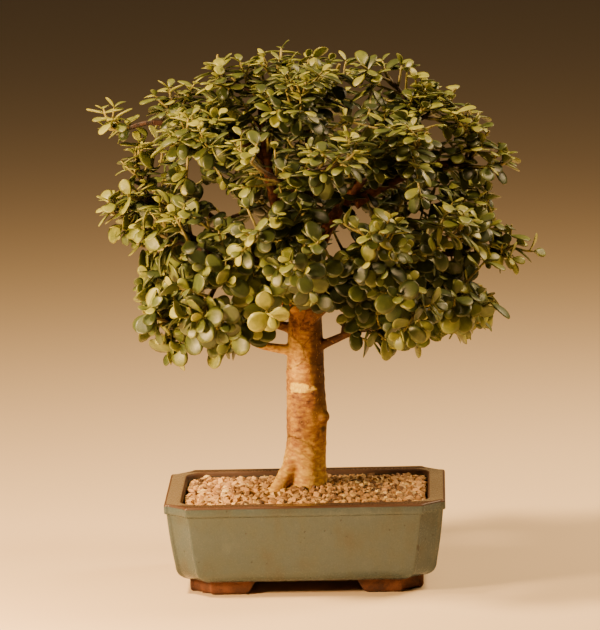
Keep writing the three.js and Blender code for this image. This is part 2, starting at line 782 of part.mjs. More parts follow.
const bonsai = new THREE.Group();
bonsai.add(
  meshFrom("pot", potSolid(), glaze),
  meshFrom("gravel", gravelSolid(trunkTube(GAP)), stones),
  meshFrom("soil", soilSolid(trunkTube(GAP)), earth),
  meshFrom("screen_left", screenSolid(DRAIN_PLACES[0]), plastic),
  meshFrom("screen_right", screenSolid(DRAIN_PLACES[1]), plastic),
  meshFrom("trunk", wood(0), bark),
  ...sprays.map(({ name, solid }) => meshFrom(name, trimmed(solid, woodRoom), jade)),
);

bonsai.position.x = POT_OFFSET;

const part = new THREE.Group();
part.add(bonsai);
export default part;
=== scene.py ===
import json
import math

import bmesh
import bpy
import numpy as np
from mathutils import Matrix, Vector, noise
from mathutils.kdtree import KDTree

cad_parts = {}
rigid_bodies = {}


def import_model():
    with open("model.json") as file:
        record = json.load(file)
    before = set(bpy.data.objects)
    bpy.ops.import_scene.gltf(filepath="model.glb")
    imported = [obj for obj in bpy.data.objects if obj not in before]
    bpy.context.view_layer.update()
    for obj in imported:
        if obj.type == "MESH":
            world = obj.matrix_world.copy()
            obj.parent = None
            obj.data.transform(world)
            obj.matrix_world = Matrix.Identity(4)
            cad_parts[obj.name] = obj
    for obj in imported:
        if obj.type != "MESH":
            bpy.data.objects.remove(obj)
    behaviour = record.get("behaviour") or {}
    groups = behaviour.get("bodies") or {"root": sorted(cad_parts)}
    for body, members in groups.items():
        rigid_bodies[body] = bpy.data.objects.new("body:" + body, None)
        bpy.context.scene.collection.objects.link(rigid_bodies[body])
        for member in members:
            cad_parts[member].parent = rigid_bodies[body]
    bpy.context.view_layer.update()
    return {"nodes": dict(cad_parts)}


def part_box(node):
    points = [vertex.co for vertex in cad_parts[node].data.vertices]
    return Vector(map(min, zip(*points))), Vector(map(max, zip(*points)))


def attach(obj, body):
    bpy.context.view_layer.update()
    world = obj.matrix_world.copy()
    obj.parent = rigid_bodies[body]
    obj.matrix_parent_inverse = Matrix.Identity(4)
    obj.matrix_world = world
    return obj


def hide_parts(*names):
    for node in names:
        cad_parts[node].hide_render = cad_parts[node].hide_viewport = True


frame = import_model()

# View
# A long lens stands a little above the pot, turned a degree and a half to the right of its front.
# How far off it stands and how far it sees are in metres, and the lens and its sensor in millimetres.
EYE_TURN = math.radians(1.49)
EYE_RISE = math.radians(9.05)
EYE_ROLL = math.radians(1.32)
EYE_DISTANCE = 4.3
EYE_AIM = (-1.7, 0, 207)
EYE_LENS = 317.8
EYE_SENSOR = 36
EYE_FARTHEST = 60
# Millimetres in a metre
PER_METRE = 1000

pot_low, pot_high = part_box("pot")
pot_middle = np.array([(pot_low.x + pot_high.x) / 2, (pot_low.y + pot_high.y) / 2, 0])


def in_frame(points):
    """Points in millimetres from the middle of the pot, as metres in the solids' frame."""
    return np.asarray(points, float) / PER_METRE + pot_middle


ahead = Vector((
    -math.sin(EYE_TURN) * math.cos(EYE_RISE),
    math.cos(EYE_TURN) * math.cos(EYE_RISE),
    -math.sin(EYE_RISE),
))
level = Vector((math.cos(EYE_TURN), math.sin(EYE_TURN), 0))
upright = level.cross(ahead)
eye_right = math.cos(EYE_ROLL) * level - math.sin(EYE_ROLL) * upright
eye_up = math.sin(EYE_ROLL) * level + math.cos(EYE_ROLL) * upright
eye_place = Vector(in_frame(EYE_AIM)) - EYE_DISTANCE * ahead

eye_data = bpy.data.cameras.new("eye")
eye_data.lens = EYE_LENS
eye_data.sensor_width = EYE_SENSOR
eye_data.clip_end = EYE_FARTHEST
eye = bpy.data.objects.new("eye", eye_data)
eye.matrix_world = Matrix.Translation(eye_place) @ Matrix((eye_right, eye_up, -ahead)).transposed().to_4x4()
bpy.context.scene.collection.objects.link(eye)
bpy.context.scene.camera = eye

# Pot
# One cast stoneware body with cut corners, a lipped rim and four bracket feet. Its grey-green glaze
# breaks brown over the edges, and stops short of the bare orange clay of the feet.
POT_LENGTH = 216
POT_DEPTH = 160
POT_HEIGHT = 72
CORNER_CUT = 16
CORNER_STEP = 3.5
RIM_WIDTH = 13
RIM_BAND = 8
RIM_OVERHANG = 1.8
FOOT_HEIGHT = 10
FOOT_INSET = 18
FOOT_ALONG_LENGTH = 51
FOOT_ALONG_DEPTH = 35
FOOT_WALL = 12
FOOT_SLOPE = 6
HEEL_ROUND = 12
HEEL_INSET = 7.4
HEEL_EDGE_ANGLE = 0.3
HEEL_EDGE_THIN = 0.5
FLOOR_TOP = 16
CAVITY_BEND = 23
DRAIN_RADIUS = 6
DRAIN_PLACES = (-50, 50)
SIDE_STEPS = 14
CORNER_ARC = 5
CURVE_STEPS = 9
CORNER_RADII = (2.6, 2, 2, 2.6)
FOOT_RADII = (1.6, 1.5, 1.5, 1.5, 1.5, 1.6, 1.2, 0.6, 1.2)
# Heights up a foot, each with its inset there
FOOT_PROFILE = ((0, 2.4), (0.4, 1.4), (1.2, 0.6), (2.4, 0.15), (4, 0), (FOOT_HEIGHT + 0.8, 0))
WALL_STOP = 1.2
WALL_BOW = 0.5
WALL_TOP_INSET = RIM_OVERHANG + 0.1
# Up the lip: its inset, its height over the body, and how far the glaze thins there
LIP_PROFILE = (
    (1.8, -0.6, 0.1), (1.5, -0.1, 0.3), (0.7, 0.2, 0.35), (0.2, 0.6, 0.2), (0, 1.3, 0), (0.05, 3.5, 0),
    (0, 5.9, 0.1), (0.05, 6.7, 0.7), (0.3, 7.3, 1), (0.8, 7.75, 1), (1.5, 7.97, 0.6), (2.3, RIM_BAND, 0.15),
)
RIM_TOP_GAP = -1.6
RIM_TOP_STEPS = 4
RIM_TOP_THIN = 0.1
# Over the rim's inner edge: its gap to the inner wall, its drop, and how far the glaze thins there
INNER_EDGE = ((-0.7, 0.2, 0.8), (-0.2, 0.8, 1), (0, 1.8, 0.7))
# Heights on the inner wall, each with its inset from the rim's edge and the radius of its corners
CAVITY_WALL = ((FLOOR_TOP, 23, 26), (CAVITY_BEND, 16, 24), (POT_HEIGHT + 6, RIM_WIDTH, 15))
# Rings on the flat underside and the floor, as shares of the outline round them
FLAT_SHARES = (0.5, 0.02)
# Where rings run round the inner wall
CAVITY_HEIGHTS = (66, 60, 50, 40, 31, 27, CAVITY_BEND, 20, 18, 17, FLOOR_TOP)
DRAIN_SIDES = 32
DRAIN_BORE = (FOOT_HEIGHT - 3, FLOOR_TOP + 3)
# Edges that turn by more than this stay sharp in the shading.
POT_SHARP_ANGLE = math.radians(50)
QUADRANTS = ((1, 1), (-1, 1), (-1, -1), (1, -1))


def feed(tree, socket, value):
    """Give a socket a plain value, or link it to a node's output."""
    if isinstance(value, Reading):
        value = value.socket
    if isinstance(value, bpy.types.NodeSocket):
        tree.links.new(value, socket)
    elif isinstance(value, tuple) and len(value) == 3 and socket.type == "RGBA":
        socket.default_value = (*value, 1)
    else:
        socket.default_value = value


def add_node(tree, kind, settings=None, values=None, output=0):
    """A node of a tree: its settings first, then the values or links of its sockets."""
    made = tree.nodes.new(kind)
    for key, value in (settings or {}).items():
        if key == "stops":
            stops = made.color_ramp.elements
            while len(stops) < len(value):
                stops.new(1)
            for stop, (position, colour) in zip(stops, value):
                stop.position = position
                stop.color = (*colour, 1)
        else:
            setattr(made, key, value)
    for key, value in (values or {}).items():
        feed(tree, made.inputs[key], value)
    return made.outputs[output]


class Reading:
    """A number in a node tree, such as one that changes over a surface. Arithmetic on it adds Math
    nodes."""

    def __init__(self, socket):
        self.socket = socket

    def math(self, operation, *values):
        settings = {"operation": operation}
        return Reading(add_node(self.socket.id_data, "ShaderNodeMath", settings, dict(enumerate(values))))

    def __add__(self, other):
        return self.math("ADD", self, other)

    def __radd__(self, other):
        return self.math("ADD", other, self)

    def __sub__(self, other):
        return self.math("SUBTRACT", self, other)

    def __rsub__(self, other):
        return self.math("SUBTRACT", other, self)

    def __mul__(self, other):
        return self.math("MULTIPLY", self, other)

    def __rmul__(self, other):
        return self.math("MULTIPLY", other, self)

    def size(self):
        return self.math("ABSOLUTE", self)

    def most(self, other):
        return self.math("MAXIMUM", self, other)

    def wave(self):
        return self.math("SINE", self)

    def between(self, low, high):
        """0 at low, 1 at high, and smooth between them."""
        values = {"Value": self, "From Min": low, "From Max": high}
        settings = {"interpolation_type": "SMOOTHSTEP"}
        return Reading(add_node(self.socket.id_data, "ShaderNodeMapRange", settings, values))

    def near(self, middle, core, reach):
        """1 within a core round a middle, fading to 0 at its reach."""
        return self.between(middle - reach, middle - core) * (1 - self.between(middle + core, middle + reach))


class Finish:
    """A material on a Principled shader, read in millimetres from the middle of the pot."""

    def __init__(self, name):
        self.material = bpy.data.materials.new(name)
        self.material.use_nodes = True
        self.tree = self.material.node_tree
        self.shader = self.tree.nodes["Principled BSDF"]
        place = self.node("ShaderNodeTexCoord", output="Object")
        centred = self.node("ShaderNodeVectorMath", {"operation": "SUBTRACT"},
                            {0: place, 1: tuple(pot_middle)})
        self.place = self.node("ShaderNodeVectorMath", {"operation": "SCALE"},
                               {0: centred, "Scale": PER_METRE})

    def node(self, kind, settings=None, values=None, output=0):
        return add_node(self.tree, kind, settings, values, output)

    def axes(self, vector):
        """The three numbers of a vector."""
        return [Reading(self.node("ShaderNodeSeparateXYZ", None, {0: vector}, index)) for index in range(3)]

    def spread(self, pitch, stretch=(1, 1, 1), shift=0):
        """The place on the object, counted in steps of a pitch in millimetres."""
        scale = tuple(share / pitch for share in stretch)
        values = {"Vector": self.place, "Scale": scale, "Location": (shift, 2 * shift, 3 * shift)}
        return self.node("ShaderNodeMapping", None, values)

    def noise(self, pitch, detail=2, stretch=(1, 1, 1), shift=0):
        """Cloudy noise with features about a pitch across, near 0.5."""
        values = {"Vector": self.spread(pitch, stretch, shift), "Scale": 1, "Detail": detail}
        return Reading(self.node("ShaderNodeTexNoise", None, values))

    def cells(self, pitch):
        """How far the nearest of many points is, where they lie about a pitch apart."""
        return Reading(self.node("ShaderNodeTexVoronoi", None, {"Vector": self.spread(pitch), "Scale": 1}))

    def attribute(self, name, output="Fac"):
        """What the mesh keeps under a name: a number, or three of them with the output Vector."""
        return Reading(self.node("ShaderNodeAttribute", {"attribute_name": name}, None, output))

    def ramp(self, share, stops):
        return self.node("ShaderNodeValToRGB", {"stops": stops}, {0: share})

    def mix(self, share, first, second):
        """Two colours, mixed by a share from 0 to 1. Mix has its colours on sockets 6, 7 and 2."""
        settings = {"data_type": "RGBA", "clamp_factor": True}
        return self.node("ShaderNodeMix", settings, {0: share, 6: first, 7: second}, 2)

    def layered(self, colour, *layers):
        """A colour with others laid over it in turn, each by its share from 0 to 1."""
        for share, over in layers:
            colour = self.mix(share, colour, over)
        return colour

    def set(self, **sockets):
        for name, value in sockets.items():
            label = name.replace("_", " ").title().replace("Ior", "IOR")
            feed(self.tree, self.shader.inputs[label], value)

    def bump(self, height, depth):
        """Relief from a height that runs about from 0 to 1, over a depth in millimetres."""
        values = {"Height": height, "Distance": depth / PER_METRE, "Strength": 1}
        self.set(Normal=self.node("ShaderNodeBump", None, values))


def plain_mesh(source, name):
    """A new object with the evaluated mesh of a source, which is then removed."""
    shown = source.evaluated_get(bpy.context.evaluated_depsgraph_get())
    mesh = bpy.data.meshes.new_from_object(shown)
    mesh.name = name
    bpy.data.objects.remove(source)
    made = bpy.data.objects.new(name, mesh)
    bpy.context.scene.collection.objects.link(made)
    return made


def object_from(name, points, faces, edges=()):
    mesh = bpy.data.meshes.new(name)
    mesh.from_pydata(in_frame(points).tolist(), [tuple(e) for e in edges], [tuple(f) for f in faces])
    made = bpy.data.objects.new(name, mesh)
    bpy.context.scene.collection.objects.link(made)
    return made


def give_attribute(mesh, name, values, kind="FLOAT"):
    made = mesh.attributes.new(name, kind, "POINT")
    key = "vector" if kind == "FLOAT_VECTOR" else "value"
    made.data.foreach_set(key, np.asarray(values).ravel())


def skin(rings, closed_ends=True):
    """Points and faces of a closed skin over rings of equal count."""
    count = len(rings[0])
    points = np.concatenate(rings)
    faces = []
    for r in range(len(rings) - 1):
        for i in range(count):
            j = (i + 1) % count
            faces.append((r * count + i, r * count + j, (r + 1) * count + j, (r + 1) * count + i))
    if closed_ends:
        faces.append(tuple(range(count))[::-1])
        faces.append(tuple(range(len(points) - count, len(points))))
    return points, faces


def rounded(corners, radii):
    """A closed outline with its corners rounded, CORNER_ARC points to each."""
    corners = np.asarray(corners, float)
    arcs = []
    for i, corner in enumerate(corners):
        back = corners[i - 1] - corner
        on = corners[(i + 1) % len(corners)] - corner
        back /= np.linalg.norm(back)
        on /= np.linalg.norm(on)
        bend = math.acos(np.clip(-back @ on, -1, 1))
        cut = radii[i % len(radii)] * math.tan(bend / 2)
        for t in np.linspace(0, 1, CORNER_ARC):
            arcs.append(corner + (1 - t) ** 2 * cut * back + t ** 2 * cut * on)
    return np.array(arcs)


def with_sides(arcs):
    """An outline of four quadrants of arcs, with points added along its four straight sides."""
    quadrants = np.split(arcs, 4)
    points = []
    for q, quadrant in enumerate(quadrants):
        points.extend(quadrant)
        start, end = quadrant[-1], quadrants[(q + 1) % 4][0]
        for share in np.linspace(0, 1, SIDE_STEPS + 1)[1:-1]:
            points.append(start + share * (end - start))
    return np.array(points)


def cut_corner_outline(inset):
    x, y = POT_LENGTH / 2 - inset, POT_DEPTH / 2 - inset
    corner = [(x, y - CORNER_CUT), (x - CORNER_STEP, y - CORNER_CUT),
              (x - CORNER_CUT, y - CORNER_STEP), (x - CORNER_CUT, y)]
    corners = []
    for q, (sx, sy) in enumerate(QUADRANTS):
        turned = [(sx * cx, sy * cy) for cx, cy in corner]
        corners.extend(turned[::-1] if q % 2 else turned)
    return with_sides(rounded(corners, CORNER_RADII))


def cavity_outline(z, gap=0):
    """The rounded inner wall at a height, a gap inside it."""
    heights, insets, radii = zip(*CAVITY_WALL)
    inset = np.interp(z, heights, insets) + gap
    radius = np.interp(z, heights, radii)
    x, y = POT_LENGTH / 2 - inset - radius, POT_DEPTH / 2 - inset - radius
    points = []
    for q, (sx, sy) in enumerate(QUADRANTS):
        for angle in (q + np.linspace(0, 1, 4 * CORNER_ARC)) * math.pi / 2:
            points.append((sx * x + radius * math.cos(angle), sy * y + radius * math.sin(angle)))
    return with_sides(np.array(points))


def at_height(outline, z):
    return np.column_stack([outline, np.full(len(outline), z)])


def pot_rings():
    """Rings from under the pot, up its outside, over the rim and down inside, each with how far the
    glaze thins on it and whether it is inside the pot."""
    under = cut_corner_outline(HEEL_INSET + HEEL_ROUND)
    rings = [(at_height(under * share, FOOT_HEIGHT), 0, 0) for share in FLAT_SHARES[::-1]]
    for angle in np.linspace(0, math.pi / 2, CURVE_STEPS):
        inset = HEEL_INSET + HEEL_ROUND * (1 - math.sin(angle))
        z = FOOT_HEIGHT + HEEL_ROUND * (1 - math.cos(angle))
        thin = HEEL_EDGE_THIN if angle < HEEL_EDGE_ANGLE else 0
        rings.append((at_height(cut_corner_outline(inset), z), thin, 0))
    body_top = POT_HEIGHT - RIM_BAND
    for share in np.linspace(0, 1, CURVE_STEPS)[1:]:
        z = FOOT_HEIGHT + HEEL_ROUND + share * (body_top - WALL_STOP - FOOT_HEIGHT - HEEL_ROUND)
        inset = HEEL_INSET + share * (WALL_TOP_INSET - HEEL_INSET)
        inset -= WALL_BOW * math.sin(math.pi * share)
        rings.append((at_height(cut_corner_outline(inset), z), 0, 0))
    rings.extend((at_height(cut_corner_outline(inset), body_top + rise), thin, 0)
                 for inset, rise, thin in LIP_PROFILE)
    outer = rings[-1][0]
    inner = at_height(cavity_outline(POT_HEIGHT, RIM_TOP_GAP), POT_HEIGHT)
    for share in np.linspace(0, 1, RIM_TOP_STEPS + 1)[1:]:
        rings.append((outer + share * (inner - outer), RIM_TOP_THIN, 0))
    for gap, drop, thin in INNER_EDGE:
        z = POT_HEIGHT - drop
        rings.append((at_height(cavity_outline(z, gap), z), thin, 0.5))
    rings.extend((at_height(cavity_outline(z), z), 0, 1) for z in CAVITY_HEIGHTS)
    rings.extend((at_height(cavity_outline(FLOOR_TOP) * share, FLOOR_TOP), 0, 1) for share in FLAT_SHARES)
    return rings


def foot_outline(inset, slope, sx, sy):
    x, y = POT_LENGTH / 2 - FOOT_INSET - inset, POT_DEPTH / 2 - FOOT_INSET - inset
    end_x = POT_LENGTH / 2 - FOOT_INSET - FOOT_ALONG_LENGTH + slope + inset
    end_y = POT_DEPTH / 2 - FOOT_INSET - FOOT_ALONG_DEPTH + slope + inset
    wall = FOOT_WALL - 2 * inset
    corners = [(x, end_y), (x, y - CORNER_CUT), (x - CORNER_STEP, y - CORNER_CUT),
               (x - CORNER_CUT, y - CORNER_STEP), (x - CORNER_CUT, y), (end_x, y), (end_x, y - wall),
               (x - wall, y - wall), (x - wall, end_y)]
    points = rounded(corners, FOOT_RADII) * (sx, sy)
    return points if sx * sy > 0 else points[::-1]


def cut_with(target, operation, tool):
    bore = target.modifiers.new(operation, "BOOLEAN")
    bore.operation = operation
    bore.solver = "EXACT"
    bore.object = tool


def merged(first, *others):
    """Several mesh objects as one."""
    joined = bmesh.new()
    for part in (first, *others):
        joined.from_mesh(part.data)
    joined.to_mesh(first.data)
    joined.free()
    for part in others:
        bpy.data.objects.remove(part)
    return first


rings = pot_rings()
pot_points, pot_faces = skin([ring for ring, _, _ in rings])
pot_body = object_from("pot_body", pot_points, pot_faces)
ring_count = len(rings[0][0])
give_attribute(pot_body.data, "thin", np.repeat([thin for _, thin, _ in rings], ring_count))
give_attribute(pot_body.data, "inside", np.repeat([inside for _, _, inside in rings], ring_count))

foot_objects = []
for sx, sy in QUADRANTS:
    foot_rings = [
        at_height(foot_outline(inset, FOOT_SLOPE * (1 - z / FOOT_HEIGHT), sx, sy), z)
        for z, inset in FOOT_PROFILE
    ]
    foot_objects.append(object_from("foot", *skin(foot_rings)))
feet = merged(*foot_objects)

turn = np.linspace(0, 2 * math.pi, DRAIN_SIDES, endpoint=False)
drain_circle = DRAIN_RADIUS * np.column_stack([np.cos(turn), np.sin(turn)])
drain_objects = [
    object_from("drain", *skin([at_height(drain_circle + (x, 0), z) for z in DRAIN_BORE]))
    for x in DRAIN_PLACES
]
drains = merged(*drain_objects)
cut_with(pot_body, "DIFFERENCE", drains)
cut_with(pot_body, "UNION", feet)
glazed_pot = plain_mesh(pot_body, "glazed_pot")
for tool in (drains, feet):
    bpy.data.objects.remove(tool)
glazed_pot.data.shade_smooth()
glazed_pot.data.set_sharp_from_angle(angle=POT_SHARP_ANGLE)

GLAZE_CLOUDS = [
    (0.36, (0.056, 0.070, 0.062)),
    (0.47, (0.058, 0.085, 0.085)),
    (0.56, (0.054, 0.085, 0.096)),
    (0.68, (0.082, 0.114, 0.116)),
]
CLAY_CLOUDS = [
    (0.38, (0.034, 0.010, 0.004)),
    (0.50, (0.078, 0.023, 0.008)),
    (0.62, (0.150, 0.050, 0.017)),
]
IRON_FLECK = (0.050, 0.042, 0.022)
# The rim's flat top is tan: partly the glaze's own colour, partly painted light, made lighter because it
# faces up.
RIM_TAN_AND_LIGHT = (0.290, 0.215, 0.115)
RIM_BROWN = (0.080, 0.034, 0.013)
INNER_BROWN = (0.040, 0.021, 0.010)
EDGE_BROWN = (0.075, 0.030, 0.012)
PINHOLE_BLACK = (0.018, 0.014, 0.009)
# A dark speck on the front wall, at its right
SPECK_X = 86.4
SPECK_Z = 37.2

glaze = Finish("celadon_glaze")
across, deep, height = glaze.axes(glaze.place)
fleck = glaze.noise(1.6, 2)
thin = (glaze.attribute("thin") * 1.5 - 0.55 * glaze.noise(7, 3, shift=4)).between(0.18, 0.62)
inside = glaze.attribute("inside")
clouds = glaze.ramp(glaze.noise(34, 3) * 0.65 + glaze.noise(9, 3, (1, 1, 0.45)) * 0.35, GLAZE_CLOUDS)
# The tan laid on the rim top holds painted light as well as the glaze's own colour.
rim_top = height.between(POT_HEIGHT - 0.8, POT_HEIGHT - 0.1)
rim_long_sides = deep.size() + 3 * glaze.noise(14, 2, shift=5)
rim_long_sides = rim_long_sides.between(POT_DEPTH / 2 - 12, POT_DEPTH / 2 - 9.5)
speck = across.near(SPECK_X, 0.4, 1.2) * height.near(SPECK_Z, 1.4, 2.6) * (1 - deep.between(-60, -50))
pinholes = (1 - glaze.cells(8.5).between(0.045, 0.085)).most(speck)
glaze_colour = glaze.layered(
    clouds,
    (fleck.between(0.62, 0.75) * 0.35, IRON_FLECK),
    (rim_top * 0.85, RIM_TAN_AND_LIGHT),
    (rim_top * rim_long_sides * 0.8, RIM_BROWN),
    (inside * 0.9, INNER_BROWN),
    (thin * 0.88, EDGE_BROWN),
    (pinholes * 0.8, PINHOLE_BLACK),
)
clay_grain = glaze.noise(1.1, 3)
clay = glaze.ramp(glaze.noise(12, 2, shift=9) * 0.6 + clay_grain * 0.4, CLAY_CLOUDS)
glaze_line = height + 2.2 * (glaze.noise(6, 2, shift=2) - 0.5)
glaze_line = glaze_line.between(FOOT_HEIGHT + 0.6, FOOT_HEIGHT + 1.2)
glaze.set(
    base_color=glaze.mix(glaze_line, clay, glaze_colour),
    roughness=0.82 - glaze_line * (0.56 - 0.16 * (fleck - 0.5) - 0.2 * thin - 0.25 * inside),
)
relief = glaze_line * (0.35 + 0.35 * glaze.noise(5, 2, shift=6)) + (1 - glaze_line) * 0.3 * clay_grain
glaze.bump(relief - 0.3 * pinholes * glaze_line, 0.6)
glazed_pot.data.materials.append(glaze.material)
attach(glazed_pot, "root")
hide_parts("pot")

# Drain screens
# Squares of black plastic netting, laid over the two drain holes to keep the soil in.
NETTING_BLACK = [(0.4, (0.012, 0.012, 0.012)), (0.6, (0.03, 0.03, 0.028))]

netting = Finish("drain_netting")
netting.set(
    base_color=netting.ramp(netting.noise(2, 2), NETTING_BLACK),
    roughness=0.45 + 0.3 * netting.noise(0.8, 2),
)
netting.bump(netting.noise(0.5, 2), 0.08)
for name in ("screen_left", "screen_right"):
    frame["nodes"][name].material_slots[0].material = netting.material

# Soil
# A dark open mix of bark crumb and grit fills the pot up to the gravel, round the root stump.
SOIL_BROWNS = [
    (0.3, (0.012, 0.008, 0.005)),
    (0.5, (0.045, 0.027, 0.016)),
    (0.7, (0.115, 0.075, 0.045)),
]

earth = Finish("potting_soil")
crumb = earth.cells(2.6)
earth.set(
    base_color=earth.ramp(crumb * 0.5 + earth.noise(1.2, 4) * 0.6, SOIL_BROWNS),
    roughness=0.85 + 0.1 * earth.noise(3, 2),
)
earth.bump(crumb, 1.2)
frame["nodes"]["soil"].material_slots[0].material = earth.material

# Trunk and limbs
# One piece of grown wood: a straight stump with rings where leaves once sat, a sawn-off side limb's
# pale scar, a burr over a hollow, and bare limbs that spread into the crown.

# Up the trunk: middle, height, radius, and how far the roots flare out there
TRUNK = (
    (-1, 0, 42, 13, 0), (-1, 0, 58, 17.5, 1), (-1, 0, 72, 18, 3.5), (-0.8, 0, 81, 17, 2.2),
    (-0.4, 0, 92, 16.2, 0.8), (0.4, 0, 106, 15.8, 0), (1.6, 0, 126, 15.8, 0), (2.1, 0, 142, 15.0, 0),
    (2, 0, 164, 14.5, 0), (1.6, 0, 186, 13.8, 0), (2, 0, 208, 12.7, 0), (3, 0, 228, 12.4, 0),
    (4.4, 1, 246, 11.2, 0), (5, 2, 256, 7, 0),
)
TRUNK_SIDES = 72
TRUNK_STEPS = 6
LOBES = 3
LOBE_DEPTH = 0.5
LOBE_RISE = 14
ROOT_BEARINGS = (3.2, 4.9, 1.1, 2.3)
ROOT_NARROWNESS = 10
SURFACE_ROOT = ((-5, -5, 100), (-13, -11, 86), (-23, -18, 73), (-29, -22, 60))
SURFACE_ROOT_RADII = (7.5, 7, 5.5, 4)
SURFACE_ROOT_STEPS = 8
SURFACE_ROOT_SIDES = 16
# Each limb: its radius at foot and tip, and points that it runs through
LIMBS = (
    (8, 2.6, [(1, 0, 236), (-12, 2, 270), (-22, 0, 310), (-26, -2, 346), (-29, 2, 376)]),
    (8.5, 2.4, [(5, 0, 238), (14, 2, 260), (26, 0, 283), (50, -3, 314), (70, 2, 345), (84, 0, 368)]),
    (6.5, 2.6, [(5, 4, 246), (8, 20, 285), (6, 30, 325), (12, 22, 370)]),
    (6, 2.4, [(6, 0, 217), (37, -3, 224), (70, 2, 237), (100, 0, 250), (128, 2, 256)]),
    (4.4, 2.3, [(-4, -2, 179), (-31, -8, 185), (-48, -12, 193), (-84, -18, 199)]),
    (4.2, 2.3, [(-4, 3, 195), (-32, 12, 201), (-62, 16, 206), (-96, 20, 224)]),
    (4.2, 2.3, [(8, -3, 181), (29, -6, 190), (52, -8, 200), (86, -8, 208)]),
    (6, 2.4, [(0, 4, 220), (-30, 42, 244), (-56, 70, 262), (-76, 90, 276)]),
    (6, 2.4, [(6, 4, 223), (35, 38, 246), (62, 64, 262), (84, 86, 274)]),
    (5.5, 2.4, [(0, -4, 210), (-26, -38, 234), (-50, -64, 254), (-70, -84, 270)]),
    (5.5, 2.4, [(6, -4, 206), (34, -38, 230), (60, -62, 248), (82, -82, 264)]),
    (6, 2.4, [(4, 4, 234), (6, 40, 268), (4, 74, 298), (8, 96, 322)]),
    (5.5, 2.4, [(3, -4, 232), (0, -38, 268), (-4, -68, 300), (0, -90, 326)]),
    (4.4, 2.3, [(-25, 36, 240), (-60, 26, 254), (-92, 12, 272), (-116, 4, 300)]),
    (4.2, 2.3, [(-23, 0, 328), (-50, -4, 347), (-84, -2, 356), (-112, -6, 360)]),
    (4.6, 2.3, [(42, -2, 294), (75, 6, 310), (105, 4, 321), (130, 2, 324)]),
)
LIMB_STEPS = 10
LIMB_SIDES = 14
LIMB_SWELL = 0.35
SWELL_FADE = 9
BURR = (13.4, -6, 128)
BURR_RADIUS = 6.6
BURR_SCALE = (0.95, 1.1, 0.8)
WOOD_VOXEL = 1.15
# Rings where leaves once sat: how far apart they are, how far their count moves on from limb to limb,
# and the girth from which they are deepest
RING_PITCH = 6.3
RING_SHIFT = 37
FULL_GIRTH = 15
SCAR = (-3, -14.6, 152)
SCAR_HALF_WIDTH = 9
SCAR_HALF_HEIGHT = 5
SCAR_FRONT = -4
# Marks in the bark: middle, and how far each spreads
SPOT = ((7.6, -12.8, 151.5), (2.6, 5, 2.6))
RIGHT_HOLLOW = ((16.5, -8, 118.5), (5, 7, 3.2))
LEFT_HOLLOW = ((-15, -6, 113.5), (3.2, 5, 3.6))
CREASE = ((5.2, -15, 106.5), (8, 8, 1.6))
# How far each of these stands out of the bark or in, in millimetres
LUMP_HEIGHT = 0.85
WOBBLE_HEIGHT = 0.42
GRAIN_HEIGHT = 0.2
RING_HEIGHT = 0.1
SCAR_RIM_HEIGHT = 0.5
SCAR_DEPTH = 0.5
SPOT_HEIGHT = 0.5
HOLLOW_DEPTH = 1.9
CREASE_DEPTH = 0.8


def smooth_line(points, steps):
    """A soft curve through points, that many steps to each stretch."""
    points = np.asarray(points, float)
    ends = np.vstack([2 * points[0] - points[1], points, 2 * points[-1] - points[-2]])
    line = []
    for i in range(len(points) - 1):
        a, b, c, d = ends[i:i + 4]
        for t in np.linspace(0, 1, steps, endpoint=False):
            line.append(0.5 * (2 * b + (c - a) * t + (2 * a - 5 * b + 4 * c - d) * t ** 2
                               + (3 * b - a - 3 * c + d) * t ** 3))
    line.append(points[-1])
    return np.array(line)


def tangents(line):
    steps = np.gradient(line, axis=0)
    return steps / np.linalg.norm(steps, axis=1)[:, None]


def tube(line, radii, sides):
    """Points and faces of a round tube along a line."""
    side = None
    rings = []
    angles = np.linspace(0, 2 * math.pi, sides, endpoint=False)
    for point, along, radius in zip(line, tangents(line), radii):
        guide = side
        if side is None:
            guide = np.array([1, 0, 0] if abs(along[2]) > 0.9 else [0, 0, 1])
        side = guide - along * (guide @ along)
        side /= np.linalg.norm(side)
        across = np.cross(along, side)
        rings.append(point + radius * (np.outer(np.cos(angles), side) + np.outer(np.sin(angles), across)))
    return skin(rings)


def trunk_rings():
    angles = np.linspace(0, 2 * math.pi, TRUNK_SIDES, endpoint=False)
    roots = [np.maximum(0, np.cos(angles - bearing)) ** ROOT_NARROWNESS for bearing in ROOT_BEARINGS]
    reach = np.max(roots, axis=0)
    rings = []
    for x, y, z, radius, flare in smooth_line(TRUNK, TRUNK_STEPS):
        lobes = LOBE_DEPTH * np.sin(LOBES * angles + z / LOBE_RISE)
        r = radius + lobes + max(flare, 0) * reach
        rings.append(at_height(np.column_stack([x + r * np.cos(angles), y + r * np.sin(angles)]), z))
    return rings


def limb_line(limb):
    """A limb's line, and its radius along it."""
    root, tip, points = limb
    line = smooth_line(points, LIMB_STEPS)
    return line, root + (tip - root) * np.sqrt(np.linspace(0, 1, len(line)))


def run_along(line):
    """How far each point of a line is from its foot, along the line."""
    return np.concatenate([[0], np.cumsum(np.linalg.norm(np.diff(line, axis=0), axis=1))])


wood_parts = [object_from("wood", *skin(trunk_rings()))]
stations = smooth_line(TRUNK, 2 * TRUNK_STEPS)
marks = [(stations[:, :3], stations[:, 3])]
root_line = smooth_line(SURFACE_ROOT, SURFACE_ROOT_STEPS)
root_places = np.linspace(0, len(SURFACE_ROOT_RADII) - 1, len(root_line))
root_radii = np.interp(root_places, range(len(SURFACE_ROOT_RADII)), SURFACE_ROOT_RADII)
wood_parts.append(object_from("wood", *tube(root_line, root_radii, SURFACE_ROOT_SIDES)))
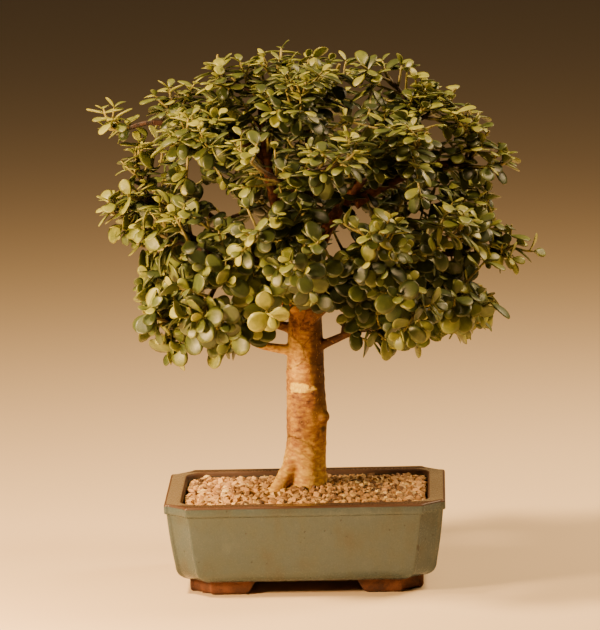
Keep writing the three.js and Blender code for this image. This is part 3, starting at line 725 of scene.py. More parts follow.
# The surface root counts as twice as thick, because its bark is as old as the trunk's.
marks.append((root_line, root_radii * 2))
for limb in LIMBS:
    line, radii = limb_line(limb)
    swell = 1 + LIMB_SWELL * np.exp(-np.linspace(0, 1, len(line)) * SWELL_FADE)
    wood_parts.append(object_from("wood", *tube(line, radii * swell, LIMB_SIDES)))
    marks.append((line, radii))
knob = bmesh.new()
bmesh.ops.create_icosphere(knob, subdivisions=3, radius=BURR_RADIUS / PER_METRE)
bmesh.ops.scale(knob, vec=BURR_SCALE, verts=knob.verts)
bmesh.ops.translate(knob, vec=Vector(in_frame(BURR)), verts=knob.verts)
knob_mesh = bpy.data.meshes.new("burr")
knob.to_mesh(knob_mesh)
knob.free()
knob_object = bpy.data.objects.new("burr", knob_mesh)
bpy.context.scene.collection.objects.link(knob_object)
wood_parts.append(knob_object)
raw_wood = merged(*wood_parts)
for kind, settings in (
    ("REMESH", {"mode": "VOXEL", "voxel_size": WOOD_VOXEL / PER_METRE}),
    ("SMOOTH", {"factor": 0.5, "iterations": 5}),
):
    step = raw_wood.modifiers.new(kind, kind)
    for key, value in settings.items():
        setattr(step, key, value)
wood = plain_mesh(raw_wood, "trunk_and_limbs")

points = np.empty(len(wood.data.vertices) * 3)
wood.data.vertices.foreach_get("co", points)
points = (points.reshape(-1, 3) - pot_middle) * PER_METRE
normals = np.empty(len(points) * 3)
wood.data.vertex_normals.foreach_get("vector", normals)
normals = normals.reshape(-1, 3)

# Each point's nearest stretch of limb gives its girth and how far along the limb it is.
mark_points = np.concatenate([line for line, _ in marks])
mark_ways = np.concatenate([tangents(line) for line, _ in marks])
mark_radii = np.concatenate([radii for _, radii in marks])
mark_runs = np.concatenate([run_along(line) + RING_SHIFT * i for i, (line, _) in enumerate(marks)])
tree = KDTree(len(mark_points))
for i, point in enumerate(mark_points):
    tree.insert(point, i)
tree.balance()
nearest = np.array([tree.find(point)[1] for point in points])
girth = mark_radii[nearest]
run = mark_runs[nearest] + np.einsum("ij,ij->i", points - mark_points[nearest], mark_ways[nearest])


def noise_at(places, pitch, seed=0):
    """Smooth noise from -1 to 1, with lumps about a pitch across."""
    return np.array([noise.noise(Vector(p) / pitch + Vector((seed, seed, seed))) for p in places])


def bump_at(places, centre, spread):
    """1 at a centre, falling off over a spread along each axis."""
    return np.exp(-(((places - centre) / spread) ** 2).sum(axis=1))


lump = noise_at(points, pitch=17)
wobble = noise_at(points, pitch=7, seed=5)
grain = noise_at(points, pitch=2.6, seed=9)
leaf_rings = np.sin(2 * math.pi * run / RING_PITCH + 3 * lump + 2 * wobble)
ring_depth = np.clip(girth / FULL_GIRTH, 0.12, 1)
scar_x = (points[:, 0] - SCAR[0]) / SCAR_HALF_WIDTH
scar_z = (points[:, 2] - SCAR[2]) / SCAR_HALF_HEIGHT
scar = np.exp(-2 * (scar_x ** 4 + scar_z ** 4)) * (points[:, 1] < SCAR_FRONT)
scar_rim = np.clip(4 * scar * (1 - scar), 0, 1)
spot = bump_at(points, *SPOT)
hollow = bump_at(points, *RIGHT_HOLLOW) + 0.8 * bump_at(points, *LEFT_HOLLOW)
crease = bump_at(points, *CREASE)
push = (LUMP_HEIGHT * lump + RING_HEIGHT * leaf_rings + WOBBLE_HEIGHT * wobble) * ring_depth
push += (SCAR_RIM_HEIGHT * scar_rim - SCAR_DEPTH * scar + SPOT_HEIGHT * spot - HOLLOW_DEPTH * hollow
         - CREASE_DEPTH * crease)
push += GRAIN_HEIGHT * grain * ring_depth
points += normals * push[:, None]
wood.data.vertices.foreach_set("co", in_frame(points).ravel())
give_attribute(wood.data, "girth", girth)
give_attribute(wood.data, "run", run)
give_attribute(wood.data, "scar", np.clip(scar + 0.9 * spot, 0, 1))
# The hollows and the crease keep a mask by which the bark darkens there as painted shade.
give_attribute(wood.data, "hollow", np.clip(hollow + 0.5 * crease, 0, 1))
wood.data.shade_smooth()

OLD_BARK = [
    (0.37, (0.075, 0.028, 0.016)),
    (0.45, (0.230, 0.098, 0.036)),
    (0.52, (0.350, 0.172, 0.026)),
    (0.61, (0.520, 0.300, 0.028)),
]
RED_BARK = [
    (0.38, (0.034, 0.010, 0.005)),
    (0.50, (0.130, 0.036, 0.013)),
    (0.62, (0.270, 0.090, 0.030)),
]
# Pale bark on the trunk's left side under the crown and on its foot is painted light.
PAINTED_LIGHT_BARK = [(0.40, (0.420, 0.190, 0.045)), (0.60, (0.860, 0.600, 0.110))]
SCAR_WOOD = [(0.4, (0.740, 0.510, 0.060)), (0.6, (0.900, 0.750, 0.120))]
# Dark bark laid on the trunk's right side is painted shade.
PAINTED_SHADE_BARK = (0.050, 0.022, 0.013)
# Slim limbs inside the crown are darkened: partly their own dark bark, partly painted shade.
TWIG_BARK_AND_SHADE = (0.026, 0.011, 0.006)
RING_BROWN = (0.100, 0.034, 0.012)
FIBRE_TAN = (0.760, 0.440, 0.110)
# Dark brown laid in the hollows and the crease is painted shade.
HOLLOW_SHADE = (0.022, 0.009, 0.005)
# Where each bark starts and is full, up the trunk or across it: old bark ends where the limbs start, a pale
# stretch on the left and pale bark at the foot are painted light, dark bark on the right is painted shade,
# and the dark bark on slim limbs inside the crown is partly their own and partly painted shade
OLD_BARK_TOP = (210, 262)
LIT_SIDE_FOOT = (154, 168)
LIT_SIDE_TOP = (182, 200)
LIT_SIDE_EDGE = (-4, 8)
LIT_FOOT_TOP = (92, 122)
LIT_FOOT_EDGE = (6, 44)
SHADE_SIDE_EDGE = (4, 10)
SHADE_SIDE_FOOT = (112, 140)
SLIM_GIRTHS = (2.6, 5)
SLIM_FOOT = (205, 250)

bark = Finish("jade_bark")
across, _, height = bark.axes(bark.place)
limb_girth = bark.attribute("girth")
age = limb_girth.between(3, 12)
patch = bark.noise(13, 4, (1, 1, 0.55))
flake = bark.noise(3.4, 3, (0.8, 0.8, 1.4), shift=3)
fibre = bark.noise(1.3, 3, (1, 1, 0.5), shift=5)
ring_mark = (bark.attribute("run") * (2 * math.pi / RING_PITCH) + 9 * (bark.noise(16, 2) - 0.5)).wave()
old_bark = bark.ramp(patch * 0.55 + flake * 0.45, OLD_BARK)
red_bark = bark.ramp(patch * 0.5 + flake * 0.5, RED_BARK)
painted_light_bark = bark.ramp(patch * 0.4 + flake * 0.6, PAINTED_LIGHT_BARK)
scar_wood = bark.ramp(fibre, SCAR_WOOD)
lower = 1 - (height + 30 * (patch - 0.5)).between(*OLD_BARK_TOP)
# Painted light: the left side under the crown and the foot get the pale bark.
painted_light_side = height.between(*LIT_SIDE_FOOT) * (1 - height.between(*LIT_SIDE_TOP))
painted_light_side *= 1 - (across + 14 * (patch - 0.5)).between(*LIT_SIDE_EDGE)
painted_light_foot = 1 - (height + 40 * (patch - 0.5)).between(*LIT_FOOT_TOP)
painted_light_foot *= 1 - (across + 20 * (patch - 0.5)).between(*LIT_FOOT_EDGE)
# Painted shade: the trunk's right side is darkened.
painted_shade_side = (across + 22 * (patch - 0.5)).between(*SHADE_SIDE_EDGE) * height.between(*SHADE_SIDE_FOOT) * lower
# Slim limbs inside the crown darken, partly as their own bark and partly as painted shade.
slim = (1 - limb_girth.between(*SLIM_GIRTHS)) * height.between(*SLIM_FOOT)
ring_share = ring_mark.between(0.6, 1) * flake.between(0.4, 0.6)
scar_share = (bark.attribute("scar") + 1.2 * (flake - 0.5)).between(0.3, 0.75)
bark_colour = bark.layered(
    red_bark,
    ((lower * age.most(0.7)).most(age * 0.25), old_bark),
    (painted_light_side.most(painted_light_foot) * 0.8, painted_light_bark),
    (painted_shade_side * 0.82, PAINTED_SHADE_BARK),
    (slim * 0.93, TWIG_BARK_AND_SHADE),
    (ring_share * 0.4 * age, RING_BROWN),
    (fibre.between(0.6, 0.74) * 0.4 * (1 - slim), FIBRE_TAN),
    (scar_share, scar_wood),
    # Painted shade in the hollows and the crease.
    (bark.attribute("hollow").between(0.3, 0.9) * 0.85, HOLLOW_SHADE),
)
bark.set(base_color=bark_colour, roughness=0.62 + 0.25 * (flake - 0.3), specular_ior_level=0.25)
bark.bump(0.5 * flake + 0.3 * fibre + 0.2 * ring_mark, 0.5)
wood.data.materials.append(bark.material)
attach(wood, "root")
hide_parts("trunk")

# Gravel
# A top dressing of crushed granite, 3 to 6 mm across, tan, pink and cream, heaped at the trunk.
GRAVEL_FOOT = 57.35
GRAVEL_EDGE = 68
GRAVEL_MOUND = 9
MOUND_LENGTH = 46
MOUND_DEPTH = 34
BED_RINGS = 14
BED_HOLE = 0.13
BED_DROP = 1.9
BED_EDGE_GAP = 2.2
BED_SIDE_GAP = 0.35
BED_SIDE_HEIGHTS = (GRAVEL_FOOT, GRAVEL_EDGE - 2.5)
STONE_SPACING = 3.1
STONE_SIZES = (2.9, 5.2)
STONE_SHAPES = 6
STONES_PER_SQUARE_METRE = 400000
STONE_ROUNDING = 0.62
STONE_LUMPS = 0.42
STONE_CHIPS = 0.18
STONE_FLATNESS = 0.74
STONE_SHARP_ANGLE = math.radians(42)
STONE_SEED = 5
# The least and most that a stone is turned about each axis, in radians
STONE_TURNS = ((-0.6, -0.6, 0), (0.6, 0.6, 6.28))
# Layers of stones: their spacing, as a multiple of the first's, and their lift
STONE_LAYERS = ((1, 0), (2.3, 1.7))


def gravel_height(x, y):
    return GRAVEL_EDGE + GRAVEL_MOUND * np.exp(-(x / MOUND_LENGTH) ** 2 - (y / MOUND_DEPTH) ** 2)


def gravel_bed():
    """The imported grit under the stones: its side follows the pot's wall, and its top is mounded."""
    rings = [at_height(cavity_outline(z, BED_SIDE_GAP), z) for z in BED_SIDE_HEIGHTS]
    outline = cavity_outline(GRAVEL_EDGE, BED_EDGE_GAP)
    for share in np.linspace(1, BED_HOLE, BED_RINGS):
        ring = at_height(outline * share, 0)
        ring[:, 2] = gravel_height(ring[:, 0], ring[:, 1]) - BED_DROP
        rings.append(ring)
    inner = rings[-1].copy()
    inner[:, 2] = GRAVEL_FOOT
    rings.append(inner)
    points, faces = skin(rings, closed_ends=False)
    count = len(outline)
    last = (len(rings) - 1) * count
    for i in range(count):
        j = (i + 1) % count
        faces.append((j, i, last + i, last + j))
    bears = [2 * count <= min(face) and max(face) < last for face in faces]
    return points, faces, bears


def stone_shape(number):
    """A crushed stone: a cube's corners pulled about, its edges broken, 24 faces."""
    stone = bmesh.new()
    bmesh.ops.create_cube(stone, size=1)
    bmesh.ops.subdivide_edges(stone, edges=stone.edges, cuts=1, use_grid_fill=True)
    for vertex in stone.verts:
        away = vertex.co.normalized()
        lump = noise.noise(away * 1.6 + Vector((7.3 * number, 1.1, 4.2)))
        fine = noise.noise(away * 3.7 + Vector((2.9, 5.7 * number, 8.1)))
        vertex.co = vertex.co.lerp(away * STONE_ROUNDING, STONE_ROUNDING)
        vertex.co *= 1 + STONE_LUMPS * lump + STONE_CHIPS * fine
        vertex.co.z *= STONE_FLATNESS + 0.05 * number
    mesh = bpy.data.meshes.new(f"stone_{number}")
    stone.to_mesh(mesh)
    stone.free()
    mesh.shade_smooth()
    mesh.set_sharp_from_angle(angle=STONE_SHARP_ANGLE)
    return bpy.data.objects.new(mesh.name, mesh)


class Recipe:
    """A Geometry Nodes tree with named inputs, built node by node."""

    # Random Value has its low, its high and its output on these sockets, for each kind of value.
    RANDOM_SOCKETS = {"FLOAT_VECTOR": (0, 1, 0), "FLOAT": (2, 3, 1), "INT": (4, 5, 2)}

    def __init__(self, name, inputs):
        self.tree = bpy.data.node_groups.new(name, "GeometryNodeTree")
        self.tree.interface.new_socket("Geometry", in_out="INPUT", socket_type="NodeSocketGeometry")
        self.inputs = {}
        for label, kind in inputs.items():
            made = self.tree.interface.new_socket(label, in_out="INPUT", socket_type=f"NodeSocket{kind}")
            self.inputs[label] = made.identifier
        self.tree.interface.new_socket("Geometry", in_out="OUTPUT", socket_type="NodeSocketGeometry")
        self.given = self.tree.nodes.new("NodeGroupInput").outputs

    def node(self, kind, settings=None, values=None, output=0):
        return add_node(self.tree, kind, settings, values, output)

    def drawn(self, kind, low, high, seed):
        """A value drawn for each point between a low and a high."""
        low_socket, high_socket, output = self.RANDOM_SOCKETS[kind]
        values = {low_socket: low, high_socket: high, "Seed": seed}
        return self.node("FunctionNodeRandomValue", {"data_type": kind}, values, output)

    def named(self, name, data_type="FLOAT"):
        return self.node("GeometryNodeInputNamedAttribute", {"data_type": data_type}, {"Name": name})

    def placed(self, points, shapes, which, turn, scale):
        """A shape of a collection, turned and scaled, on each point."""
        shapes = self.node("GeometryNodeCollectionInfo", None,
                           {"Collection": shapes, "Separate Children": True, "Reset Children": True})
        rotation = self.node("FunctionNodeEulerToRotation", None, {0: turn})
        return self.node("GeometryNodeInstanceOnPoints", None,
                         {"Points": points, "Instance": shapes, "Pick Instance": True,
                          "Instance Index": which, "Rotation": rotation, "Scale": scale})

    def realized(self, placed):
        return self.node("GeometryNodeRealizeInstances", None, {0: placed})

    def finished(self, geometry, finish):
        return self.node("GeometryNodeSetMaterial", None, {"Geometry": geometry, "Material": finish})

    def end(self, geometry):
        self.tree.links.new(geometry, self.tree.nodes.new("NodeGroupOutput").inputs[0])

    def join(self, *parts):
        joined = self.tree.nodes.new("GeometryNodeJoinGeometry")
        for part in parts[::-1]:
            self.tree.links.new(part, joined.inputs[0])
        return joined.outputs[0]

    def made(self, source, name, **values):
        """The plain mesh that this tree makes of a source object."""
        modifier = source.modifiers.new(self.tree.name, "NODES")
        modifier.node_group = self.tree
        for label, value in values.items():
            modifier[self.inputs[label]] = value
        return plain_mesh(source, name)


def shape_collection(name, shapes):
    kept = bpy.data.collections.new(name)
    for shape in shapes:
        kept.objects.link(shape)
    return kept


def drop_collection(kept):
    for shape in list(kept.objects):
        bpy.data.objects.remove(shape)
    bpy.data.collections.remove(kept)


scatter = Recipe("scatter_stones", {
    "spacing": "Float", "smallest": "Float", "largest": "Float", "seed": "Int", "shapes": "Collection",
    "stone_finish": "Material", "bed_finish": "Material",
})
bears = scatter.named("bears_stones", "BOOLEAN")
layers = []
for number, (spread, lift) in enumerate(STONE_LAYERS):
    apart = Reading(scatter.given["spacing"]) * spread
    seed = Reading(scatter.given["seed"]) + number
    stone_feet = scatter.node(
        "GeometryNodeDistributePointsOnFaces", {"distribute_method": "POISSON"},
        {"Mesh": scatter.given["Geometry"], "Selection": bears, "Distance Min": apart,
         "Density Max": STONES_PER_SQUARE_METRE, "Seed": seed})
    shade = scatter.drawn("FLOAT", 0, 1, 11 + number)
    marked = scatter.node("GeometryNodeStoreNamedAttribute", {"data_type": "FLOAT", "domain": "POINT"},
                          {"Geometry": stone_feet, "Name": "stone", "Value": shade})
    raised = scatter.node("GeometryNodeSetPosition", None,
                          {"Geometry": marked, "Offset": (0, 0, lift / PER_METRE)})
    turned = scatter.drawn("FLOAT_VECTOR", *STONE_TURNS, 21 + number)
    sized = scatter.drawn("FLOAT", scatter.given["smallest"], scatter.given["largest"], 31 + number)
    which = scatter.drawn("INT", 0, STONE_SHAPES - 1, 41 + number)
    layers.append(scatter.placed(raised, scatter.given["shapes"], which, turned, sized))
stones = scatter.finished(scatter.realized(scatter.join(*layers)), scatter.given["stone_finish"])
bed = scatter.finished(scatter.given["Geometry"], scatter.given["bed_finish"])
scatter.end(scatter.join(bed, stones))

GRANITE_COLOURS = [
    (0.00, (0.085, 0.038, 0.012)),
    (0.14, (0.215, 0.105, 0.033)),
    (0.30, (0.420, 0.225, 0.074)),
    (0.46, (0.570, 0.340, 0.123)),
    (0.60, (0.360, 0.215, 0.086)),
    (0.72, (0.660, 0.440, 0.156)),
    (0.86, (0.610, 0.340, 0.139)),
    (1.00, (0.880, 0.700, 0.312)),
]
FELDSPAR_CREAM = (0.860, 0.700, 0.460)
MICA_BROWN = (0.100, 0.050, 0.024)
GRIT_BROWNS = [(0.1, (0.12, 0.06, 0.03)), (0.5, (0.04, 0.02, 0.01)), (0.8, (0.01, 0.006, 0.004))]

granite = Finish("crushed_granite")
grain = granite.noise(0.9, 3)
granite_colour = granite.layered(
    granite.ramp(granite.attribute("stone"), GRANITE_COLOURS),
    (grain.between(0.56, 0.7) * 0.45, FELDSPAR_CREAM),
    ((1 - grain).between(0.58, 0.7) * 0.5, MICA_BROWN),
)
granite.set(base_color=granite_colour, roughness=0.6 + 0.25 * grain)
granite.bump(grain, 0.25)
grit = Finish("bed_grit")
crumb = grit.cells(1.5)
grit.set(base_color=grit.ramp(crumb, GRIT_BROWNS), roughness=0.9)
grit.bump(1 - crumb, 1.2)

bed_points, bed_faces, bed_bears = gravel_bed()
bed_object = object_from("gravel_bed", bed_points, bed_faces)
bearing = bed_object.data.attributes.new("bears_stones", "BOOLEAN", "FACE")
bearing.data.foreach_set("value", bed_bears)
stone_shapes = shape_collection("stones", [stone_shape(n) for n in range(STONE_SHAPES)])
smallest, largest = (size / PER_METRE for size in STONE_SIZES)
gravel = scatter.made(
    bed_object, "granite_gravel", spacing=STONE_SPACING / PER_METRE, smallest=smallest, largest=largest,
    seed=STONE_SEED, shapes=stone_shapes, stone_finish=granite.material, bed_finish=grit.material)
drop_collection(stone_shapes)
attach(gravel, "root")
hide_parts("gravel")

# Leafy sprays
# Each outer branch carries side shoots, and every shoot bears thick glossy egg-shaped leaves in
# opposite pairs, a quarter turn from one pair to the next. Old stems are brown, new ones green.

# The crown's rounded form: its middle, how far it reaches each way, and how square it is
CROWN = {"x": 10, "z": 255, "length": 148, "depth": 134, "up": 147, "down": 74, "power": 2.6}
# Where branches end: on the outline, inside it, and in rows over the front and back of the crown,
# each row at one angle up with its angles round
OUTLINE_TIPS = (
    (-144, -8, 356), (-126, 10, 330), (-145, -5, 291), (-124, 14, 262), (-112, -8, 226),
    (-100, -30, 197), (-56, -42, 203), (-98, 8, 381), (-62, -6, 397), (-14, 4, 401),
    (32, -4, 399), (68, 8, 394), (96, -8, 380), (120, 10, 377), (136, -6, 350),
    (157, 6, 321), (146, -12, 285), (163, 0, 257), (146, 14, 218), (136, -14, 201),
    (100, -28, 201), (62, -30, 202),
)
INNER_TIPS = ((-24, -54, 240), (16, -52, 248), (-50, -6, 258), (56, -2, 214))
FRONT_ROWS = {
    -0.3: (0.42, 0.86, 2.24, 2.74), 0.06: (1.57,), 0.24: (0.6, 1.22, 1.92, 2.54),
    0.68: (0.7, 1.34, 2.0, 2.5), 1.1: (1.57,),
}
BACK_ROWS = {
    -0.3: (0.45, 1.01, 1.57, 2.13, 2.69), 0.22: (0.6, 1.25, 1.9, 2.54), 0.72: (0.75, 1.57, 2.39),
    1.16: (1.57,),
}
ROW_WANDER = 0.12
ROW_RISE_WANDER = 0.1
TURN_COST = 0.7
ROOT_SPACING = 15
ROOT_STEP = 0.25
BRANCH_REACH = 0.35
# How far a branch's tip turns up, high in the crown and low in it
HIGH_TIP_LIFT = 0.5
LOW_TIP_LIFT = 0.1
GOLDEN_TURN = 2.399963
UP = np.array([0, 0, 1.0])
SIDEWAYS = np.array([1.0, 0, 0])
CROWN_MIDDLE = np.array([CROWN["x"], 0, CROWN["z"]])
DRAW_FACTOR = 16807
DRAW_RANGE = 2147483647
# Where draws start: for the rows of tips and the filling shoots once, and for each branch, limb or
# stem a step further on
FRONT_SEED = 41
BACK_SEED = 53
FILLING_SEED = 611
SHOOT_SEEDS = (700, 1)
BRANCH_SEEDS = (4000, 31)
LIMB_SEEDS = (8000, 13)
NODE_SEEDS = (9000, 17)


def drawer(start, step=0, number=0):
    """Draws between 0 and 1, the same at every run."""
    state = start + step * number

    def draw():
        nonlocal state
        state = state * DRAW_FACTOR % DRAW_RANGE
        return state / DRAW_RANGE

    return draw


def wander(draw, width):
    """A draw that is spread over a width about 0."""
    return width * (draw() - 0.5)


def share_between(value, low, high):
    """0 up to a low, 1 from a high on, and even between them."""
    return np.clip((value - low) / (high - low), 0, 1)


def unit(vector):
    return vector / np.linalg.norm(vector)


def crown_share(step):
    """How far out a step from the crown's middle reaches, where 1 is its surface."""
    flat = math.hypot(step[0] / CROWN["length"], step[1] / CROWN["depth"])
    tall = abs(step[2]) / (CROWN["up"] if step[2] > 0 else CROWN["down"])
    return (flat ** CROWN["power"] + tall ** CROWN["power"]) ** (1 / CROWN["power"])


def row_tips(rows, face, seed):
    """Tips of branches in rows over the crown's front, where the face is -1, or its back."""
    draw = drawer(seed)
    tips = []
    for elevation, azimuths in rows.items():
        for azimuth in azimuths:
            turn = face * (azimuth + wander(draw, ROW_WANDER))
            rise = elevation + wander(draw, ROW_RISE_WANDER)
            way = np.array([math.cos(rise) * math.cos(turn), math.cos(rise) * math.sin(turn), math.sin(rise)])
            tips.append(CROWN_MIDDLE + way / crown_share(way))
    return tips


def root_for(tip, roots):
    """The place on the limbs that a branch grows from, and the limb's way there: near its tip, ahead
    of it rather than behind, and apart from other branches."""
    best = None
    for _, _, points in LIMBS:
        line = np.array(points, float)
        for place in np.arange(1, len(line) - 0.99, ROOT_STEP):
            index = min(int(place), len(line) - 2)
            along = line[index + 1] - line[index]
            point = line[index] + along * (place - index)
            away = tip - point
            turn = 1 - unit(away) @ unit(along)
            cost = np.linalg.norm(away) * (1 + TURN_COST * turn)
            is_free = all(np.linalg.norm(root - point) > ROOT_SPACING for root in roots)
            if is_free and (best is None or cost < best[0]):
                best = (cost, point, unit(along))
    roots.append(best[1])
    return best[1], best[2]


def bend(a, b, c, d, t):
    """Points on a curve with four control points."""
    t = np.asarray(t, float)[..., None]
    return (1 - t) ** 3 * a + 3 * (1 - t) ** 2 * t * b + 3 * (1 - t) * t ** 2 * c + t ** 3 * d


def branch_curve(tip, roots):
    """A branch leaves along its limb and ends turned up."""
    point, along = root_for(tip, roots)
    away = tip - point
    reach = np.linalg.norm(away)
    lift = HIGH_TIP_LIFT if tip[2] > CROWN["z"] else LOW_TIP_LIFT
    end = unit(unit(away) + UP * lift)
    leave = unit(unit(away) + along)
    return point, point + BRANCH_REACH * reach * leave, tip - BRANCH_REACH * reach * end, tip


def heading_at(curve, t):
    low, high = max(t - 1e-4, 0), min(t + 1e-4, 1)
    return unit(bend(*curve, high) - bend(*curve, low))


def side_heading(along, turn, lean, lift):
    """Which way a side shoot leaves a stem: leaning out at a turn round it, and lifted."""
    level = unit(np.cross(along, UP if abs(along[2]) < 0.99 else SIDEWAYS))
    rise = np.cross(level, along)
    return unit(along * math.cos(lean) + level * math.sin(lean) * math.cos(turn)
                + rise * math.sin(lean) * math.sin(turn) + UP * lift)


# Side shoots on a branch: fewest and most, how far apart, and the share of it that they start at and
# span; then their least length, what is drawn on top, and the share kept outside the crown
SHOOT_COUNTS = (4, 7)
SHOOT_SPACING = 11
SHOOT_START = 0.3
SHOOT_SPAN = 0.62
LEAST_SHOOT = 19
SHOOT_EXTRA = 11
SHORT_SHOOT = 0.6
SHOOT_LEAN = 0.9
SHOOT_LEAN_WANDER = 0.3
SHOOT_TURN_WANDER = 0.6
SHOOT_LIFT = 0.3
# The most that a stem's first turn is drawn to, in radians
FIRST_TURN = 6


def shoots_of(curve, number):
    """Side shoots up a branch, each turned on from the last, and short where they leave the crown."""
    draw = drawer(*SHOOT_SEEDS, number)
    length = run_along(bend(*curve, np.linspace(0, 1, 201)))[-1]
    fewest, most = SHOOT_COUNTS
    count = min(most, max(fewest, round(length / SHOOT_SPACING)))
    shoots = []
    for place in range(count):
        share = SHOOT_START + SHOOT_SPAN * place / (count - 1)
        turn = number + place * GOLDEN_TURN + wander(draw, SHOOT_TURN_WANDER)
        lean = SHOOT_LEAN + wander(draw, SHOOT_LEAN_WANDER)
        root = bend(*curve, share)
        heading = side_heading(heading_at(curve, share), turn, lean, SHOOT_LIFT)
        reach = LEAST_SHOOT + SHOOT_EXTRA * draw()
        if crown_share(root + heading * reach - CROWN_MIDDLE) > 1:
            reach = SHORT_SHOOT * reach
        shoots.append((root, heading, reach, FIRST_TURN * draw()))
    return shoots


# A leaf in plan is an ellipse: its middle and half length, as shares of the leaf. Another leaf may
# come this near to its flat side, and leaves further apart than the reach can't meet.
LEAF_MIDDLE = 0.58
LEAF_HALF = 0.44
LEAF_CLEARANCE = 1.25
LEAF_MEETING_REACH = 19
MOST_LEAVES = 12000


class Canopy:
    """The leaves placed so far, by which a new leaf is kept from cutting through another."""

    # Where a leaf is tested, as shares of its length and width
    ALONG = np.array([0.3, 0.3, 0.3, 0.55, 0.55, 0.55, 0.8, 0.8, 0.8, 0.97])
    ACROSS = np.array([-0.3, 0, 0.3, -0.45, 0, 0.45, -0.38, 0, 0.38, 0])

    def __init__(self, most):
        self.count = 0
        self.frames = np.zeros((most, 4, 3))
        self.sizes = np.ones((most, 2))
        self.samples = np.zeros((most, len(self.ALONG), 3))

    def sample(self, foot, along, across, length, width):
        return foot + np.outer(self.ALONG * length, along) + np.outer(self.ACROSS * width, across)

    def cuts(self, samples, frames, sizes):
        steps = samples - frames[..., None, 0, :]
        u = np.einsum("...sk,...k->...s", steps, frames[..., 1, :]) / sizes[..., None, 0]
        v = np.einsum("...sk,...k->...s", steps, frames[..., 2, :]) / sizes[..., None, 1]
        w = np.einsum("...sk,...k->...s", steps, frames[..., 3, :])
        edge = 0.25 - (0.5 * (u - LEAF_MIDDLE) / LEAF_HALF) ** 2
        return ((np.abs(w) < LEAF_CLEARANCE) & (u > 0.1) & (v ** 2 < edge)).any()

    def is_free(self, foot, along, across, normal, length, width):
        samples = self.sample(foot, along, across, length, width)
        apart = np.abs(self.samples[:self.count, 4] - samples[4]).max(axis=1)
        near = np.flatnonzero(apart < LEAF_MEETING_REACH)
        if not len(near):
            return True
        frame_here = np.array([foot, along, across, normal])
        size_here = np.array([length, width])
        return not (self.cuts(samples[None], self.frames[near], self.sizes[near])
                    or self.cuts(self.samples[near], frame_here, size_here))

    def keep(self, foot, along, across, normal, length, width):
        self.frames[self.count] = foot, along, across, normal
        self.sizes[self.count] = length, width
        self.samples[self.count] = self.sample(foot, along, across, length, width)
        self.count += 1


# The outline that the crown is pruned to, the gaps through it, and the stretch of limb that no leaf
# covers in front, all as the eye sees them on the pot's middle plane. Each gap is an ellipse: its
# middle, then its half width and half height.
CROWN_OUTLINE = (
    (-162, 366), (-130, 390), (-107, 388), (-96, 394), (-60, 408), (-11, 420), (38, 415), (67, 416),
    (98, 398), (122, 394), (120, 370), (144, 362), (146, 340), (166, 336), (170, 312), (150, 312),
    (146, 300), (156, 292), (142, 282), (160, 272), (170, 276), (190, 252), (176, 238), (134, 246),
    (130, 230), (166, 204), (160, 180), (144, 184), (140, 196), (118, 184), (106, 192), (92, 175),
    (40, 178), (31, 202), (18, 216), (-9, 214), (-16, 206), (-20, 194), (-44, 186), (-66, 173),
    (-110, 166), (-124, 184), (-122, 217), (-130, 262), (-158, 282), (-158, 300), (-143, 312),
    (-130, 340),
)
GAPS = (
    (-82, 323, 5, 6), (-70, 306, 9, 6), (-56, 296, 11, 7), (-38, 281, 7, 6), (-85, 274, 7, 5),
    (-68, 278, 4, 4), (-35, 252, 4, 5), (-66, 224, 15, 5.5), (32, 266, 10, 7), (22, 255, 7, 6),
    (50, 281, 5, 6), (76, 388, 12, 4.5), (33, 400, 6, 3), (100, 357, 8, 6), (106, 345, 6, 4),
    (142, 323, 3.5, 4.5), (114, 248, 5, 5), (91, 285, 3, 4),
)
GAP_MARGIN = 1.5
BARE_LIMB = (-25, 314, 8, 33)
EYE_SLANT = math.tan(EYE_TURN)
EYE_SLOPE = math.tan(EYE_RISE)


def seen_at(place):
    """Where on the pot's middle plane the eye sees a place."""
    return place[0] + place[1] * EYE_SLANT, place[2] + place[1] * EYE_SLOPE


def is_seen_in(place, x, z, wide, tall):
    seen_x, seen_z = seen_at(place)
    across = (seen_x - x) / wide
    up = (seen_z - z) / tall
    return across * across + up * up < 1


def is_in_gap(place):
    if place[1] < -2 and is_seen_in(place, *BARE_LIMB):
        return True
    return any(is_seen_in(place, x, z, wide + GAP_MARGIN, tall + GAP_MARGIN) for x, z, wide, tall in GAPS)


def is_outside(place):
    """Whether the eye sees a place outside the crown's outline."""
    x, z = seen_at(place)
    crossings = 0
    for (ax, az), (bx, bz) in zip(CROWN_OUTLINE, CROWN_OUTLINE[1:] + CROWN_OUTLINE[:1]):
        if (az > z) != (bz > z) and x < ax + (z - az) / (bz - az) * (bx - ax):
            crossings += 1
    return crossings % 2 == 0


def turned_about(vector, axis, angle):
    return (vector * math.cos(angle) + np.cross(axis, vector) * math.sin(angle)
            + axis * (axis @ vector) * (1 - math.cos(angle)))


LEAF_LENGTH = 15.4
LOW_LEAF_EXTRA = 1.2
LOW_LEFT_LEAF_EXTRA = 2.4
# What a leaf tries until it is free: a turn round the stem from its own place, and its size
LEAF_TRIES = ((0, 1), (0.3, 1), (-0.3, 1), (0.6, 0.92), (-0.6, 0.92), (0, 0.75))
LEAF_FOOT_GAP = 0.6
# How far along it a leaf is tested against the crown's outline and against the gaps
OUTLINE_TEST = 0.6
GAP_TESTS = (0.2, 0.6, 1)
# Leaves get larger from the higher of two heights down to the lower, and more so towards the left.
LARGE_LEAVES = (220, 310)
LEFT_LEAVES = (0, 80)
# Leaves get narrow and turn up, and sprouts rise more, from the lower of two heights to the higher.
UPTURNED_LEAVES = (260, 340)
LIFTED_SPROUTS = (250, 340)


